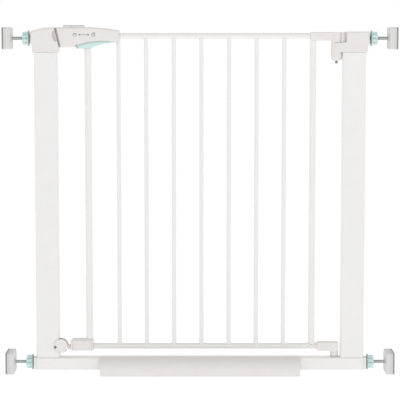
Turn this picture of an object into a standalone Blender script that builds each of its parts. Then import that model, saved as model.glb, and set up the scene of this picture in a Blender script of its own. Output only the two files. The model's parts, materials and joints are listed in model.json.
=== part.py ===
"""Pressure-mounted safety gate: a steel U-frame, a swing door and four screw spindles with wall cups.

Dimensions are in millimetres and the helpers turn them into metres. X runs along the gate from the latch post
to the hinge post, Y through it and Z up. Heights are measured from the underside of the threshold bar, which
stands GROUND_CLEARANCE above the floor because the bottom wall cups are taller than the bar.
"""

import math

import bmesh
import bpy
from mathutils import Matrix, Vector

MM = 0.001
GAP = 0.3                      # clearance between solids that touch on the real gate
ROUND = 24                     # sides of an ordinary turned surface

# Frame
GROUND_CLEARANCE = 6.5
FRAME_HALF = 361.0             # outer face of each post
POST_WIDTH, POST_DEPTH, POST_WALL, POST_CORNER = 51.0, 26.0, 1.2, 4.0
BAR_HEIGHT, BAR_DEPTH = 28.4, 26.0
POST_TOP = 699.7
CAP_FOOT = POST_TOP + GAP
CAP_HALF_DEPTH = 16.0

# Spindles, nuts and wall cups
SPINDLE_HEIGHTS = {"top": 730.4, "bottom": 17.2}
NUT_INNER = {"top": 371.6, "bottom": 369.6}   # distance from the gate's centre to the nut's flange
SPINDLE_RADIUS, SPINDLE_BORE = 3.9, 4.4
SPINDLE_INNER, SPINDLE_OUTER = 345.0, 419.5
NUT_LENGTH, NUT_RADIUS, NUT_FLANGE_RADIUS, NUT_FLANGE = 13.6, 14.6, 17.2, 2.4
CUP_INNER, PAD_INNER, PAD_OUTER = 410.0, 425.0, 428.0
CUP_DEPTH, CUP_HEIGHT, CUP_CORNER = 60.0, 47.4, 4.0

# Step ramp in front of the threshold bar
RAMP_HALF, RAMP_HALF_FRONT, RAMP_TOP, RAMP_FRONT, RAMP_LIP, RAMP_WALL = 221.6, 218.4, 29.9, 51.0, 3.0, 2.4

# Door
HINGE_X = 297.0
RAIL_RADIUS, TUBE_WALL = 6.0, 1.2
TOP_RAIL_Z, BOTTOM_RAIL_Z = 735.6, 52.5
TOP_RAIL_ENDS, BOTTOM_RAIL_ENDS = (-186.0, 252.0), (-239.0, 264.0)
BAR_RADIUS, BAR_WALL, BAR_COUNT, BAR_PITCH, FIRST_BAR_X = 4.75, 1.0, 7, 60.17, -177.5
LATCH_STILE_X, LATCH_STILE_RADIUS = -244.0, 7.5
HINGE_STILE_X, HINGE_STILE_RADIUS = 246.0, 7.0
HINGE_ARM_FOOT = 725.5
HINGE_PIN_RADIUS, KNUCKLE_RADIUS = 3.5, 12.0

# Handle
HOUSING_HALF, HOUSING_WALL, HOUSING_ROOF = 15.5, 2.5, 754.3
LEVER_PIVOT = (-188.0, 725.3)
LEVER_HALF = 11.5
HANDLE_SCREWS = ((-285.0, 719.5), (-212.0, 742.0))

# Bottom latch
CATCH_CENTRE, CATCH_RADIUS = (-307.2, 54.6), 16.3
REAR_CHEEK_CENTRE, REAR_CHEEK_RADIUS = (-307.2, 51.8), 10.4
CATCH_SCREW = (-319.3, 52.2)

MATERIALS = {
    "powder_coat": ((0.83, 0.83, 0.82), 0.35, 0.0),
    "frame_plastic": ((0.80, 0.77, 0.75), 0.45, 0.0),
    "teal_plastic": ((0.43, 0.76, 0.74), 0.40, 0.0),
    "cup_plastic": ((0.66, 0.66, 0.65), 0.50, 0.0),
    "pad_rubber": ((0.34, 0.34, 0.34), 0.85, 0.0),
    "zinc_steel": ((0.42, 0.42, 0.41), 0.35, 1.0),
    "button_grey": ((0.52, 0.58, 0.58), 0.45, 0.0),
}


# ---------------------------------------------------------------- scene, materials and parenting

def clear_scene():
    for obj in list(bpy.data.objects):
        bpy.data.objects.remove(obj, do_unlink=True)


def new_collection(name):
    collection = bpy.data.collections.new(name)
    bpy.context.scene.collection.children.link(collection)
    return collection


def new_material(name):
    colour, roughness, metallic = MATERIALS[name]
    material = bpy.data.materials.new(name)
    material.use_nodes = True
    shader = material.node_tree.nodes["Principled BSDF"]
    shader.inputs["Base Color"].default_value = (*colour, 1.0)
    shader.inputs["Roughness"].default_value = roughness
    shader.inputs["Metallic"].default_value = metallic
    return material


def new_empty(name, location, parent=None):
    """An empty at a joint's axis; its location is relative to its parent."""
    empty = bpy.data.objects.new(name, None)
    empty.empty_display_size = 0.03
    empty.parent = parent
    empty.location = Vector(location) * MM
    GATE.objects.link(empty)
    return empty


def gate_location(obj):
    """Where an object's origin is in the gate's own axes, through its parents."""
    location = obj.location.copy()
    while obj.parent and obj.parent is not ROOT:
        obj = obj.parent
        location += obj.location
    return location


def part(obj, material, parent=None):
    """Finish a sub-part: material, collection and parent, keeping its place in the gate's axes."""
    parent = parent or ROOT
    if parent is not ROOT:
        obj.location -= gate_location(parent)
    obj.parent = parent
    obj.data.materials.clear()
    obj.data.materials.append(SHADERS[material])
    obj.data.shade_smooth()
    obj.data.set_sharp_from_angle(angle=math.radians(35))
    return obj


# ---------------------------------------------------------------- outlines

def circle(radius, centre=(0.0, 0.0), sides=ROUND):
    angles = [2 * math.pi * i / sides for i in range(sides)]
    return [(centre[0] + radius * math.cos(a), centre[1] + radius * math.sin(a)) for a in angles]


def arc(centre, radii, start, end, steps):
    """Points on an elliptical arc between two angles in degrees; radii may be one number."""
    across, up = radii if isinstance(radii, tuple) else (radii, radii)
    angles = [math.radians(start + (end - start) * i / steps) for i in range(steps + 1)]
    return [(centre[0] + across * math.cos(a), centre[1] + up * math.sin(a)) for a in angles]


def rounded_rect(width, height, radius, centre=(0.0, 0.0), steps=3):
    points = []
    for i, (sx, sy) in enumerate(((1, 1), (-1, 1), (-1, -1), (1, -1))):
        corner = (centre[0] + sx * (width / 2 - radius), centre[1] + sy * (height / 2 - radius))
        points += arc(corner, radius, 90 * i, 90 * i + 90, steps)
    return points


# ---------------------------------------------------------------- solids

PLANES = {"XY": (0.0, 0.0, 0.0), "XZ": (90.0, 0.0, 0.0), "YZ": (90.0, 0.0, 90.0)}
NORMALS = {"XY": 2, "XZ": 1, "YZ": 0}


def slab(name, loops, low, high, plane):
    """A flat outline in a plane of the gate, filled and extruded from low to high along its normal."""
    curve = bpy.data.curves.new(name, "CURVE")
    curve.dimensions = "2D"
    curve.fill_mode = "BOTH"
    curve.extrude = (high - low) / 2 * MM
    for loop in loops:
        spline = curve.splines.new("POLY")
        spline.points.add(len(loop) - 1)
        for point, (u, v) in zip(spline.points, loop):
            point.co = (u * MM, v * MM, 0.0, 1.0)
        spline.use_cyclic_u = True
    obj = bpy.data.objects.new(name, curve)
    obj.rotation_euler = [math.radians(a) for a in PLANES[plane]]
    obj.location[NORMALS[plane]] = (low + high) / 2 * MM
    return as_mesh(obj)


def as_mesh(obj):
    """Replace a curve, or a mesh with modifiers, by one welded mesh with its faces pointing out."""
    name, source = obj.name, obj.data
    bpy.context.scene.collection.objects.link(obj)
    bpy.context.view_layer.update()
    mesh = bpy.data.meshes.new_from_object(obj.evaluated_get(bpy.context.evaluated_depsgraph_get()))
    solid = bpy.data.objects.new(name, mesh)
    solid.location, solid.rotation_euler = obj.location, obj.rotation_euler
    bpy.data.objects.remove(obj, do_unlink=True)
    (bpy.data.curves if isinstance(source, bpy.types.Curve) else bpy.data.meshes).remove(source)
    edit = bmesh.new()
    edit.from_mesh(mesh)
    bmesh.ops.remove_doubles(edit, verts=edit.verts, dist=1e-6)
    bmesh.ops.recalc_face_normals(edit, faces=edit.faces)
    edit.to_mesh(mesh)
    edit.free()
    solid.name = name
    GATE.objects.link(solid)
    return solid


def cylinder(name, axis, radius, low, high, centre, sides=ROUND):
    """A bar along X, Y or Z from low to high; centre gives the other two coordinates in X, Y, Z order."""
    index = "XYZ".index(axis)
    mesh = bpy.data.meshes.new(name)
    edit = bmesh.new()
    bmesh.ops.create_cone(edit, cap_ends=True, segments=sides, radius1=radius * MM, radius2=radius * MM,
                          depth=(high - low) * MM)
    edit.to_mesh(mesh)
    edit.free()
    obj = bpy.data.objects.new(name, mesh)
    place = list(centre)
    place.insert(index, (low + high) / 2)
    obj.location = Vector(place) * MM
    obj.rotation_euler = ((0, math.pi / 2, 0), (-math.pi / 2, 0, 0), (0, 0, 0))[index]
    GATE.objects.link(obj)
    return obj


def box(name, x_span, y_span, z_span):
    spans = (x_span, y_span, z_span)
    mesh = bpy.data.meshes.new(name)
    edit = bmesh.new()
    size = Matrix.Diagonal([(high - low) * MM for low, high in spans]).to_4x4()
    bmesh.ops.create_cube(edit, size=1.0, matrix=size)
    edit.to_mesh(mesh)
    edit.free()
    obj = bpy.data.objects.new(name, mesh)
    obj.location = [(low + high) / 2 * MM for low, high in spans]
    GATE.objects.link(obj)
    return obj


def turned(name, profile, centre, steps=ROUND):
    """A solid turned about a vertical axis from (radius, height) points, outer side from top to bottom."""
    mesh = bpy.data.meshes.new(name)
    edit = bmesh.new()
    verts = [edit.verts.new((radius * MM, 0.0, height * MM)) for radius, height in profile]
    closed = profile[0][0] > 0
    pairs = list(zip(verts, verts[1:])) + ([(verts[-1], verts[0])] if closed else [])
    for first, second in pairs:
        edit.edges.new((first, second))
    edit.to_mesh(mesh)
    edit.free()
    obj = bpy.data.objects.new(name, mesh)
    screw = obj.modifiers.new("turn", "SCREW")
    screw.steps = screw.render_steps = steps
    screw.use_merge_vertices = True
    screw.merge_threshold = 1e-5
    obj.location = (centre[0] * MM, centre[1] * MM, 0.0)
    return as_mesh(obj)


def coil(name, axis, radius, wire, low, high, centre, turns):
    """A compression or torsion spring: a wire swept along a helix about X or Z."""
    points_per_turn = 10
    count = turns * points_per_turn
    curve = bpy.data.curves.new(name, "CURVE")
    curve.dimensions = "3D"
    curve.bevel_depth = wire / 2 * MM
    curve.bevel_resolution = 0
    curve.use_fill_caps = True
    spline = curve.splines.new("POLY")
    spline.points.add(count)
    reach = high - low - wire
    for i, point in enumerate(spline.points):
        turn = 2 * math.pi * i / points_per_turn
        across, up, along = radius * math.cos(turn), radius * math.sin(turn), wire / 2 + reach * i / count
        place = (along, across, up) if axis == "X" else (across, up, along)
        point.co = (*[p * MM for p in place], 1.0)
    obj = bpy.data.objects.new(name, curve)
    place = list(centre)
    place.insert("XYZ".index(axis), low)
    obj.location = Vector(place) * MM
    return as_mesh(obj)


def boolean(target, tool, operation):
    """Cut, join or keep the overlap of a solid with a tool, which goes to the hidden collection."""
    modifier = target.modifiers.new(tool.name, "BOOLEAN")
    modifier.operation = operation
    modifier.solver = "EXACT"
    modifier.object = tool
    GATE.objects.unlink(tool)
    TOOLS.objects.link(tool)
    tool.parent = ROOT
    tool.hide_render = True
    tool.display_type = "WIRE"
    return target


def cut(target, tool):
    return boolean(target, tool, "DIFFERENCE")


def join(target, tool):
    return boolean(target, tool, "UNION")


def bore(target, axis, radius, low, high, centre, sides=ROUND):
    return cut(target, cylinder(target.name + "_bore", axis, radius, low, high, centre, sides))


# ---------------------------------------------------------------- frame

def build_posts():
    for name, side in (("left_post", -1), ("right_post", 1)):
        centre = (side * (FRAME_HALF - POST_WIDTH / 2), 0.0)
        outer = rounded_rect(POST_WIDTH, POST_DEPTH, POST_CORNER, centre)
        inner = rounded_rect(POST_WIDTH - 2 * POST_WALL, POST_DEPTH - 2 * POST_WALL,
                             POST_CORNER - POST_WALL, centre)
        post = slab(name, [outer, inner], BAR_HEIGHT + GAP, POST_TOP, "XY")
        if side < 0:
            bore(post, "Y", 2.3, -20.0, -8.0, CATCH_SCREW, 12)
        part(post, "powder_coat")


def build_threshold_bar():
    centre = (0.0, BAR_HEIGHT / 2)
    outer = rounded_rect(BAR_DEPTH, BAR_HEIGHT, 3.0, centre)
    inner = rounded_rect(BAR_DEPTH - 2 * POST_WALL, BAR_HEIGHT - 2 * POST_WALL, 3.0 - POST_WALL, centre)
    bar = slab("threshold_bar", [outer, inner], -FRAME_HALF, FRAME_HALF, "YZ")
    bore(bar, "Z", 6.3, 20.0, 40.0, (HINGE_X, 0.0))
    part(bar, "powder_coat")


def build_threshold_plugs():
    centre = (0.0, BAR_HEIGHT / 2)
    for name, side in (("threshold_plug_left", -1), ("threshold_plug_right", 1)):
        flange = sorted((side * (FRAME_HALF + GAP), side * 368.3))
        tongue = sorted((side * 344.0, side * (FRAME_HALF + 1.0)))
        plug = slab(name, [rounded_rect(25.4, 27.8, 3.0, centre)], *flange, "YZ")
        join(plug, slab(name + "_tongue", [rounded_rect(22.8, 25.2, 2.0, centre)], *tongue, "YZ"))
        bore(plug, "X", SPINDLE_BORE, *sorted((side * 340.0, side * 372.0)), (0.0, SPINDLE_HEIGHTS["bottom"]))
        part(plug, "frame_plastic")


def cap_tongue(cap, side):
    """The plug under a post cap that fits inside the post."""
    middle = side * (FRAME_HALF - POST_WIDTH / 2)
    outline = rounded_rect(45.0, 20.0, 2.0, (middle, 0.0))
    return join(cap, slab(cap.name + "_tongue", [outline], CAP_FOOT - 22.0, CAP_FOOT + 1.0, "XY"))


def build_latch_post_cap():
    outline = [(-363.8, CAP_FOOT), (-308.0, CAP_FOOT), (-306.8, 703.0), (-306.8, 711.0), (-306.0, 712.5),
               (-316.0, 752.8), (-318.0, 753.8), (-335.0, 753.3), (-350.0, 751.2), (-361.0, 748.4),
               (-366.6, 745.8), (-368.6, 742.6), (-368.6, 720.5), (-364.6, 716.6), (-363.8, 714.0)]
    cap = slab("latch_post_cap", [outline], -CAP_HALF_DEPTH, CAP_HALF_DEPTH, "XZ")
    cap_tongue(cap, -1)
    bore(cap, "X", SPINDLE_BORE, -372.0, -324.0, (0.0, SPINDLE_HEIGHTS["top"]))
    cut(cap, box("strike_pocket", (-319.6, -300.0), (-8.9, 8.9), (723.6, 744.4)))
    part(cap, "frame_plastic")
    part(box("strike_plate", (-319.3, -317.8), (-8.6, 8.6), (724.0, 744.0)), "zinc_steel")


def build_hinge_post_cap():
    outline = [(309.5, CAP_FOOT), (364.0, CAP_FOOT), (364.0, 714.0), (368.4, 717.0), (368.4, 742.0),
               (367.0, 744.6), (365.0, 745.0), (319.5, 745.0), (317.5, 743.2), (317.0, 722.6), (309.5, 720.6)]
    cap = slab("hinge_post_cap", [outline], -CAP_HALF_DEPTH, CAP_HALF_DEPTH, "XZ")
    barrel = [(KNUCKLE_RADIUS, 720.6), (KNUCKLE_RADIUS, 688.0), (8.4, 682.0), (3.9, 682.0), (3.9, 690.0),
              (9.0, 690.0), (9.0, 715.0), (3.9, 715.0), (3.9, 720.6)]
    fairing = [(HINGE_X, -11.9), (313.0, -15.4), (317.0, -15.4), (317.0, 15.4), (313.0, 15.4),
               (HINGE_X, 11.9)]
    fairing += [(HINGE_X + 4.0, 10.4), (HINGE_X + 8.5, 6.0), (HINGE_X + 9.8, 0.0), (HINGE_X + 8.5, -6.0),
                (HINGE_X + 4.0, -10.4)]
    join(cap, slab("hinge_fairing", [fairing], CAP_FOOT + 0.4, 720.2, "XY"))
    join(cap, turned("hinge_barrel", barrel, (HINGE_X, 0.0)))
    join(cap, box("hinge_web", (306.3, 319.5), (-8.0, 8.0), (720.3, 743.6)))
    bore(cap, "Z", KNUCKLE_RADIUS + 0.5, 720.7, 750.0, (HINGE_X, 0.0), 32)
    cap_tongue(cap, 1)
    bore(cap, "X", SPINDLE_BORE, 324.0, 374.0, (0.0, SPINDLE_HEIGHTS["top"]))
    part(cap, "frame_plastic")


def build_top_hinge_pin():
    profile = [(0.0, 740.4), (HINGE_PIN_RADIUS, 740.4), (HINGE_PIN_RADIUS, 679.6), (2.4, 676.0), (0.0, 676.0)]
    part(turned("hinge_pin", profile, (HINGE_X, 0.0)), "zinc_steel")
    part(coil("closing_spring", "Z", 6.4, 1.6, 691.0, 714.0, (HINGE_X, 0.0), 7), "zinc_steel")


def build_bottom_pivot_bush():
    seat = BAR_HEIGHT + GAP
    profile = [(9.0, 30.2), (9.0, seat), (6.0, seat), (6.0, 21.0), (4.0, 21.0), (4.0, 30.2)]
    part(turned("floor_pivot_bush", profile, (HINGE_X, 0.0)), "frame_plastic")


def build_step_ramp():
    """A moulded ramp that hooks over the front half of the threshold bar and comes down to the floor."""
    foot, back, seat = -GROUND_CLEARANCE, -BAR_DEPTH / 2 - GAP, BAR_HEIGHT + GAP
    rise = RAMP_TOP - foot - RAMP_LIP
    reach = RAMP_FRONT - BAR_DEPTH / 2
    spring = (-BAR_DEPTH / 2, foot + RAMP_LIP)
    outer = [(-RAMP_FRONT, foot)] + arc(spring, (reach, rise), 180, 90, 9)
    outer += [(1.2, RAMP_TOP), (2.0, RAMP_TOP - 0.5), (2.0, seat), (back, seat), (back, foot)]
    hollow = [(-RAMP_FRONT + RAMP_WALL, foot - 2.0)]
    hollow += arc(spring, (reach - RAMP_WALL, rise - RAMP_WALL), 180, 92, 9)
    hollow += [(back + 1.0, 27.0), (back + 1.0, foot - 2.0)]
    left = [(-RAMP_HALF + 10.0, 3.0), (-RAMP_HALF + 4.2, 0.0), (-RAMP_HALF + 1.0, -5.0),
            (-RAMP_HALF, -11.0), (-RAMP_HALF, -34.0), (-RAMP_HALF + 1.0, -44.0),
            (-RAMP_HALF_FRONT, -RAMP_FRONT - 1.0)]
    plan = left + [(-x, y) for x, y in reversed(left)]
    ramp = slab("step_ramp", [outer], -RAMP_HALF - 1.0, RAMP_HALF + 1.0, "YZ")
    boolean(ramp, slab("ramp_plan", [plan], foot - 1.0, RAMP_TOP + 1.0, "XY"), "INTERSECT")
    inside = RAMP_HALF_FRONT - 2 * RAMP_WALL
    cut(ramp, slab("ramp_hollow", [hollow], -inside, inside, "YZ"))
    part(ramp, "frame_plastic")


def build_bottom_catch():
    """A catch whose two round cheeks hold the edge of the latch post; its notch takes the bottom bolt."""
    half = POST_DEPTH / 2 + 3.6
    cheek_face = -POST_DEPTH / 2 - GAP
    catch = slab("bottom_catch", [circle(CATCH_RADIUS, CATCH_CENTRE, 32)], -half, -4.0, "XZ")
    join(catch, slab("rear_cheek", [circle(REAR_CHEEK_RADIUS, REAR_CHEEK_CENTRE)], -6.0, half, "XZ"))
    post_edge = -FRAME_HALF + POST_WIDTH + GAP
    cut(catch, box("post_slot", (-340.0, post_edge), (cheek_face, -cheek_face), (20.0, 80.0)))
    cut(catch, box("bolt_notch", (-296.6, -280.0), (-20.0, 20.0), (44.8, 56.8)))
    bore(catch, "Y", 3.0, -20.0, -10.0, CATCH_SCREW, 16)
    part(catch, "frame_plastic")
    screw = cylinder("bottom_catch_screw", "Y", 1.9, -15.0, -8.0, CATCH_SCREW, 12)
    join(screw, cylinder("catch_screw_head", "Y", 2.6, -half + 0.8, -half + 2.8, CATCH_SCREW, 16))
    part(screw, "zinc_steel")


# ---------------------------------------------------------------- spindles, nuts and wall cups

def lobed(radius, depth, lobes, centre, steps=6):
    """A grip outline with shallow scallops round it."""
    count = lobes * steps
    angles = [2 * math.pi * i / count for i in range(count)]
    radii = [radius - depth * (1 - math.cos(a * lobes)) / 2 for a in angles]
    return [(centre[0] + r * math.cos(a), centre[1] + r * math.sin(a)) for r, a in zip(radii, angles)]


def build_corner(level, side_name, side):
    """One corner of the gate: spindle, cup and pad slide together, driven by the tension nut."""
    corner = f"{level}_{side_name}"
    height = SPINDLE_HEIGHTS[level]
    centre = (0.0, height)
    axis = new_empty(f"spindle_axis_{corner}", (side * NUT_INNER[level], 0.0, height), ROOT)

    def span(inner, outer):
        return sorted((side * inner, side * outer))

    rod = cylinder(f"spindle_{corner}", "X", SPINDLE_RADIUS, *span(SPINDLE_INNER, SPINDLE_OUTER), centre)
    part(rod, "zinc_steel", axis)

    cup = slab(f"wall_cup_{corner}", [rounded_rect(CUP_DEPTH, CUP_HEIGHT, CUP_CORNER, centre)],
               *span(CUP_INNER, PAD_INNER - GAP), "YZ")
    bore(cup, "X", SPINDLE_BORE, *span(CUP_INNER - 5.0, SPINDLE_OUTER + 0.6), centre)
    part(cup, "cup_plastic", axis)
    pad = slab(f"wall_pad_{corner}", [rounded_rect(CUP_DEPTH, CUP_HEIGHT, CUP_CORNER, centre)],
               *span(PAD_INNER, PAD_OUTER), "YZ")
    part(pad, "pad_rubber", axis)

    inner = NUT_INNER[level]
    grip = lobed(NUT_RADIUS, 2.0, 8, centre)
    nut = slab(f"adjusting_nut_{corner}", [grip], *span(inner, inner + NUT_LENGTH), "YZ")
    flange = span(inner - 0.2, inner + NUT_FLANGE)
    join(nut, cylinder(f"nut_flange_{corner}", "X", NUT_FLANGE_RADIUS, *flange, centre))
    bore(nut, "X", SPINDLE_BORE, *span(inner - 5.0, inner + NUT_LENGTH + 5.0), centre)
    part(nut, "teal_plastic", axis)


# ---------------------------------------------------------------- door

def tube(name, axis, radius, wall, low, high, centre):
    plane = {"X": "YZ", "Y": "XZ", "Z": "XY"}[axis]
    return slab(name, [circle(radius, centre), circle(radius - wall, centre)], low, high, plane)


def build_rails(door):
    top = tube("top_rail", "X", RAIL_RADIUS, TUBE_WALL, *TOP_RAIL_ENDS, (0.0, TOP_RAIL_Z))
    part(top, "powder_coat", door)
    bottom = tube("bottom_rail", "X", RAIL_RADIUS, TUBE_WALL, *BOTTOM_RAIL_ENDS, (0.0, BOTTOM_RAIL_Z))
    part(bottom, "powder_coat", door)


def coped_tube(name, x, radius, wall, ends, cope_top=True):
    """An upright tube whose ends are hollowed to sit round the rails."""
    upright = tube(name, "Z", radius, wall, *ends, (x, 0.0))
    bore(upright, "X", RAIL_RADIUS + GAP, x - 20.0, x + 20.0, (0.0, BOTTOM_RAIL_Z))
    if cope_top:
        bore(upright, "X", RAIL_RADIUS + GAP, x - 20.0, x + 20.0, (0.0, TOP_RAIL_Z))
    return upright


def build_uprights(door):
    for i in range(BAR_COUNT):
        bar = coped_tube(f"bar_{i + 1}", FIRST_BAR_X + i * BAR_PITCH, BAR_RADIUS, BAR_WALL,
                         (BOTTOM_RAIL_Z + 1.0, TOP_RAIL_Z - 1.0))
        part(bar, "powder_coat", door)
    hinge = coped_tube("hinge_stile", HINGE_STILE_X, HINGE_STILE_RADIUS, TUBE_WALL,
                       (BOTTOM_RAIL_Z + 1.0, HINGE_ARM_FOOT - GAP), cope_top=False)
    part(hinge, "powder_coat", door)
    latch = tube("latch_stile", "Z", LATCH_STILE_RADIUS, TUBE_WALL, 59.2, 742.0, (LATCH_STILE_X, 0.0))
    part(latch, "powder_coat", door)


def build_top_hinge_arm(door):
    sleeve = rounded_rect(57.0, 744.0 - HINGE_ARM_FOOT, 2.0, (240.0 + 28.5, (744.0 + HINGE_ARM_FOOT) / 2))
    arm = slab("top_hinge_arm", [sleeve], -9.0, 9.0, "XZ")
    join(arm, cylinder("top_knuckle", "Z", KNUCKLE_RADIUS, 721.2, 744.2, (HINGE_X, 0.0)))
    bore(arm, "X", RAIL_RADIUS + GAP, 230.0, TOP_RAIL_ENDS[1] + 1.0, (0.0, TOP_RAIL_Z))
    bore(arm, "Z", 4.0, 715.0, 741.2, (HINGE_X, 0.0))
    part(arm, "frame_plastic", door)


def build_bottom_hinge(door):
    sleeve = rounded_rect(39.0, 19.4, 2.5, (258.0 + 19.5, 52.1))
    elbow = slab("bottom_hinge_elbow", [sleeve], -8.4, 8.4, "XZ")
    join(elbow, cylinder("elbow_leg", "Z", 8.6, 30.8, 61.6, (HINGE_X, 0.0)))
    bore(elbow, "X", RAIL_RADIUS + GAP, 250.0, BOTTOM_RAIL_ENDS[1] + 1.0, (0.0, BOTTOM_RAIL_Z))
    bore(elbow, "Z", HINGE_PIN_RADIUS + GAP, 25.0, 57.6, (HINGE_X, 0.0))
    part(elbow, "frame_plastic", door)
    pin = cylinder("bottom_hinge_pin", "Z", HINGE_PIN_RADIUS, 12.0, 57.2, (HINGE_X, 0.0))
    part(pin, "zinc_steel", door)


def build_bottom_latch_housing(door):
    outline = [(-286.6, 47.4), (-284.0, 44.0), (-282.0, 43.4), (-236.6, 43.4), (-235.8, 44.4), (-235.8, 67.6),
               (-236.8, 68.6), (-277.0, 68.6), (-284.0, 66.6), (-286.6, 63.0)]
    housing = slab("bottom_latch_housing", [outline], -11.0, 11.0, "XZ")
    cut(housing, box("bottom_bolt_channel", (-290.0, -243.6), (-5.6, 5.6), (45.4, 56.2)))
    bore(housing, "Z", LATCH_STILE_RADIUS + GAP, 58.9, 75.0, (LATCH_STILE_X, 0.0))
    bore(housing, "Z", 2.6, 54.0, 60.0, (LATCH_STILE_X, 0.0), 12)
    bore(housing, "X", RAIL_RADIUS + GAP, -240.2, -230.0, (0.0, BOTTOM_RAIL_Z))
    part(housing, "frame_plastic", door)


# ---------------------------------------------------------------- handle and latches

def housing_outline():
    roof = [(-240.0, HOUSING_ROOF), (-225.0, 753.5), (-210.0, 752.2), (-195.0, 750.5), (-180.0, 748.5),
            (-176.4, 747.6)]
    end = [(-175.4, 746.0), (-175.4, 724.0), (-177.0, 722.4)]
    underside = [(-184.0, 722.7), (-196.0, 723.7), (-210.0, 724.2), (-222.0, 724.2), (-234.0, 723.0),
                 (-246.0, 721.2), (-258.0, 718.2), (-267.0, 715.9), (-271.0, 713.6), (-273.6, 711.0)]
    return [(-302.6, 711.0), (-312.2, 753.0), (-311.0, HOUSING_ROOF)] + roof + end + underside


def build_handle_shells(door):
    hollow = [(-300.0, 713.5), (-308.8, 751.8), (-240.0, 751.8), (-210.0, 749.6), (-178.0, 745.6),
              (-178.0, 700.0), (-271.6, 700.0), (-271.6, 713.5)]
    parting = GAP / 2
    wall_face = HOUSING_HALF - HOUSING_WALL
    for name, side in (("handle_front_shell", -1), ("handle_rear_shell", 1)):

        def span(inner, outer):
            return sorted((side * inner, side * outer))

        shell = slab(name, [housing_outline()], *span(parting, HOUSING_HALF), "XZ")
        cut(shell, slab(name + "_hollow", [hollow], *span(-5.0, wall_face), "XZ"))
        cut(shell, box(name + "_bolt_mouth", (-322.0, -296.0), (-8.6, 8.6), (723.6, 744.4)))
        cut(shell, box(name + "_button_slot", (-286.8, -257.0), (-4.8, 4.8), (748.0, 760.0)))
        bore(shell, "X", RAIL_RADIUS + GAP, -182.0, -170.0, (0.0, TOP_RAIL_Z))
        bore(shell, "Z", BAR_RADIUS + GAP, 715.0, TOP_RAIL_Z - 3.0, (FIRST_BAR_X, 0.0))
        for place in HANDLE_SCREWS:
            join(shell, cylinder(name + "_boss", "Y", 3.8, *span(parting, wall_face + 0.4), place, 16))
            bore(shell, "Y", 1.8, *span(-2.0, 11.0 if side < 0 else 20.0), place, 12)
            if side > 0:
                bore(shell, "Y", 3.3, *span(wall_face, 20.0), place, 16)
        part(shell, "frame_plastic", door)


def build_handle_screws(door):
    for i, place in enumerate(HANDLE_SCREWS):
        screw = cylinder(f"handle_screw_{i + 1}", "Y", 1.5, -9.0, 14.0, place, 12)
        join(screw, cylinder("screw_head", "Y", 2.9, 13.3, 15.0, place, 16))
        part(screw, "zinc_steel", door)


def build_squeeze_lever(door):
    pivot = new_empty("lever_pivot", (LEVER_PIVOT[0] - HINGE_X, 0.0, LEVER_PIVOT[1]), door)
    top = [(-191.0, 728.8), (-200.0, 729.6), (-212.0, 730.0), (-230.0, 729.2), (-242.0, 726.8),
           (-256.0, 723.0), (-267.0, 718.2), (-268.6, 716.8)]
    grip = [(-268.0, 713.0), (-265.0, 709.6), (-260.0, 708.0), (-252.0, 707.5), (-245.0, 708.2),
            (-238.0, 709.8), (-225.0, 713.8), (-214.0, 717.0), (-203.0, 719.0), (-195.0, 719.9)]
    hub = arc(LEVER_PIVOT, 3.6, 250, 430, 8)
    lever = slab("squeeze_lever", [hub + top + grip], -LEVER_HALF, LEVER_HALF, "XZ")
    cut(lever, box("stile_slot", (LATCH_STILE_X - 10.5, LATCH_STILE_X + 10.5), (-8.3, 8.3), (690.0, 740.0)))
    bore(lever, "Y", 1.9, -20.0, 20.0, LEVER_PIVOT, 16)
    part(lever, "teal_plastic", pivot)
    part(cylinder("lever_pin", "Y", 1.6, -12.7, 12.7, LEVER_PIVOT, 16), "zinc_steel", door)
    part(coil("lever_spring", "Z", 3.0, 0.9, 730.4, 749.6, (-228.0, 0.0), 6), "zinc_steel", door)


def build_latch_bolt(door):
    """The top bolt: a slanted nose that enters the latch post's groove, and a tail inside the handle."""
    slide = new_empty("latch_bolt_slide", (-HINGE_X - 300.0, 0.0, 736.0), door)
    nose = [(-297.0, 724.4), (-314.4, 724.4), (-317.2, 726.0), (-317.2, 742.0), (-315.6, 743.6),
            (-297.0, 743.6)]
    bolt = slab("latch_bolt", [nose], -8.0, 8.0, "XZ")
    join(bolt, box("latch_bolt_tail", (-298.0, -272.0), (-6.0, 6.0), (731.2, 741.0)))
    part(bolt, "frame_plastic", slide)
    part(coil("bolt_spring", "X", 3.0, 0.9, -271.6, -252.2, (0.0, 736.0), 6), "zinc_steel", door)


def build_lock_button(door):
    """The thumb lock on top of the handle, which slides before the lever can be squeezed."""
    slide = new_empty("lock_button_slide", (-HINGE_X - 276.0, 0.0, 757.0), door)
    plate = [(-298.0, HOUSING_ROOF + GAP), (-250.2, HOUSING_ROOF + GAP), (-250.2, 757.6), (-251.6, 758.6),
             (-296.6, 758.6), (-298.0, 757.6)]
    button = slab("lock_button", [plate], -9.0, 9.0, "XZ")
    join(button, box("lock_button_stem", (-285.0, -267.0), (-4.2, 4.2), (745.6, 756.0)))
    part(button, "button_grey", slide)
    part(coil("button_spring", "X", 2.0, 0.7, -266.6, -253.4, (0.0, 748.2), 5), "zinc_steel", door)


def build_bottom_bolt(door):
    slide = new_empty("bottom_bolt_slide", (-HINGE_X - 275.0, 0.0, 50.8), door)
    outline = [(-256.0, 46.0), (-292.4, 46.0), (-294.0, 47.6), (-294.0, 54.0), (-292.4, 55.6), (-256.0, 55.6)]
    part(slab("bottom_bolt", [outline], -5.2, 5.2, "XZ"), "frame_plastic", slide)
    part(coil("bottom_bolt_spring", "X", 3.0, 0.9, -255.6, -244.0, (0.0, 50.8), 5), "zinc_steel", door)


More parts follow.
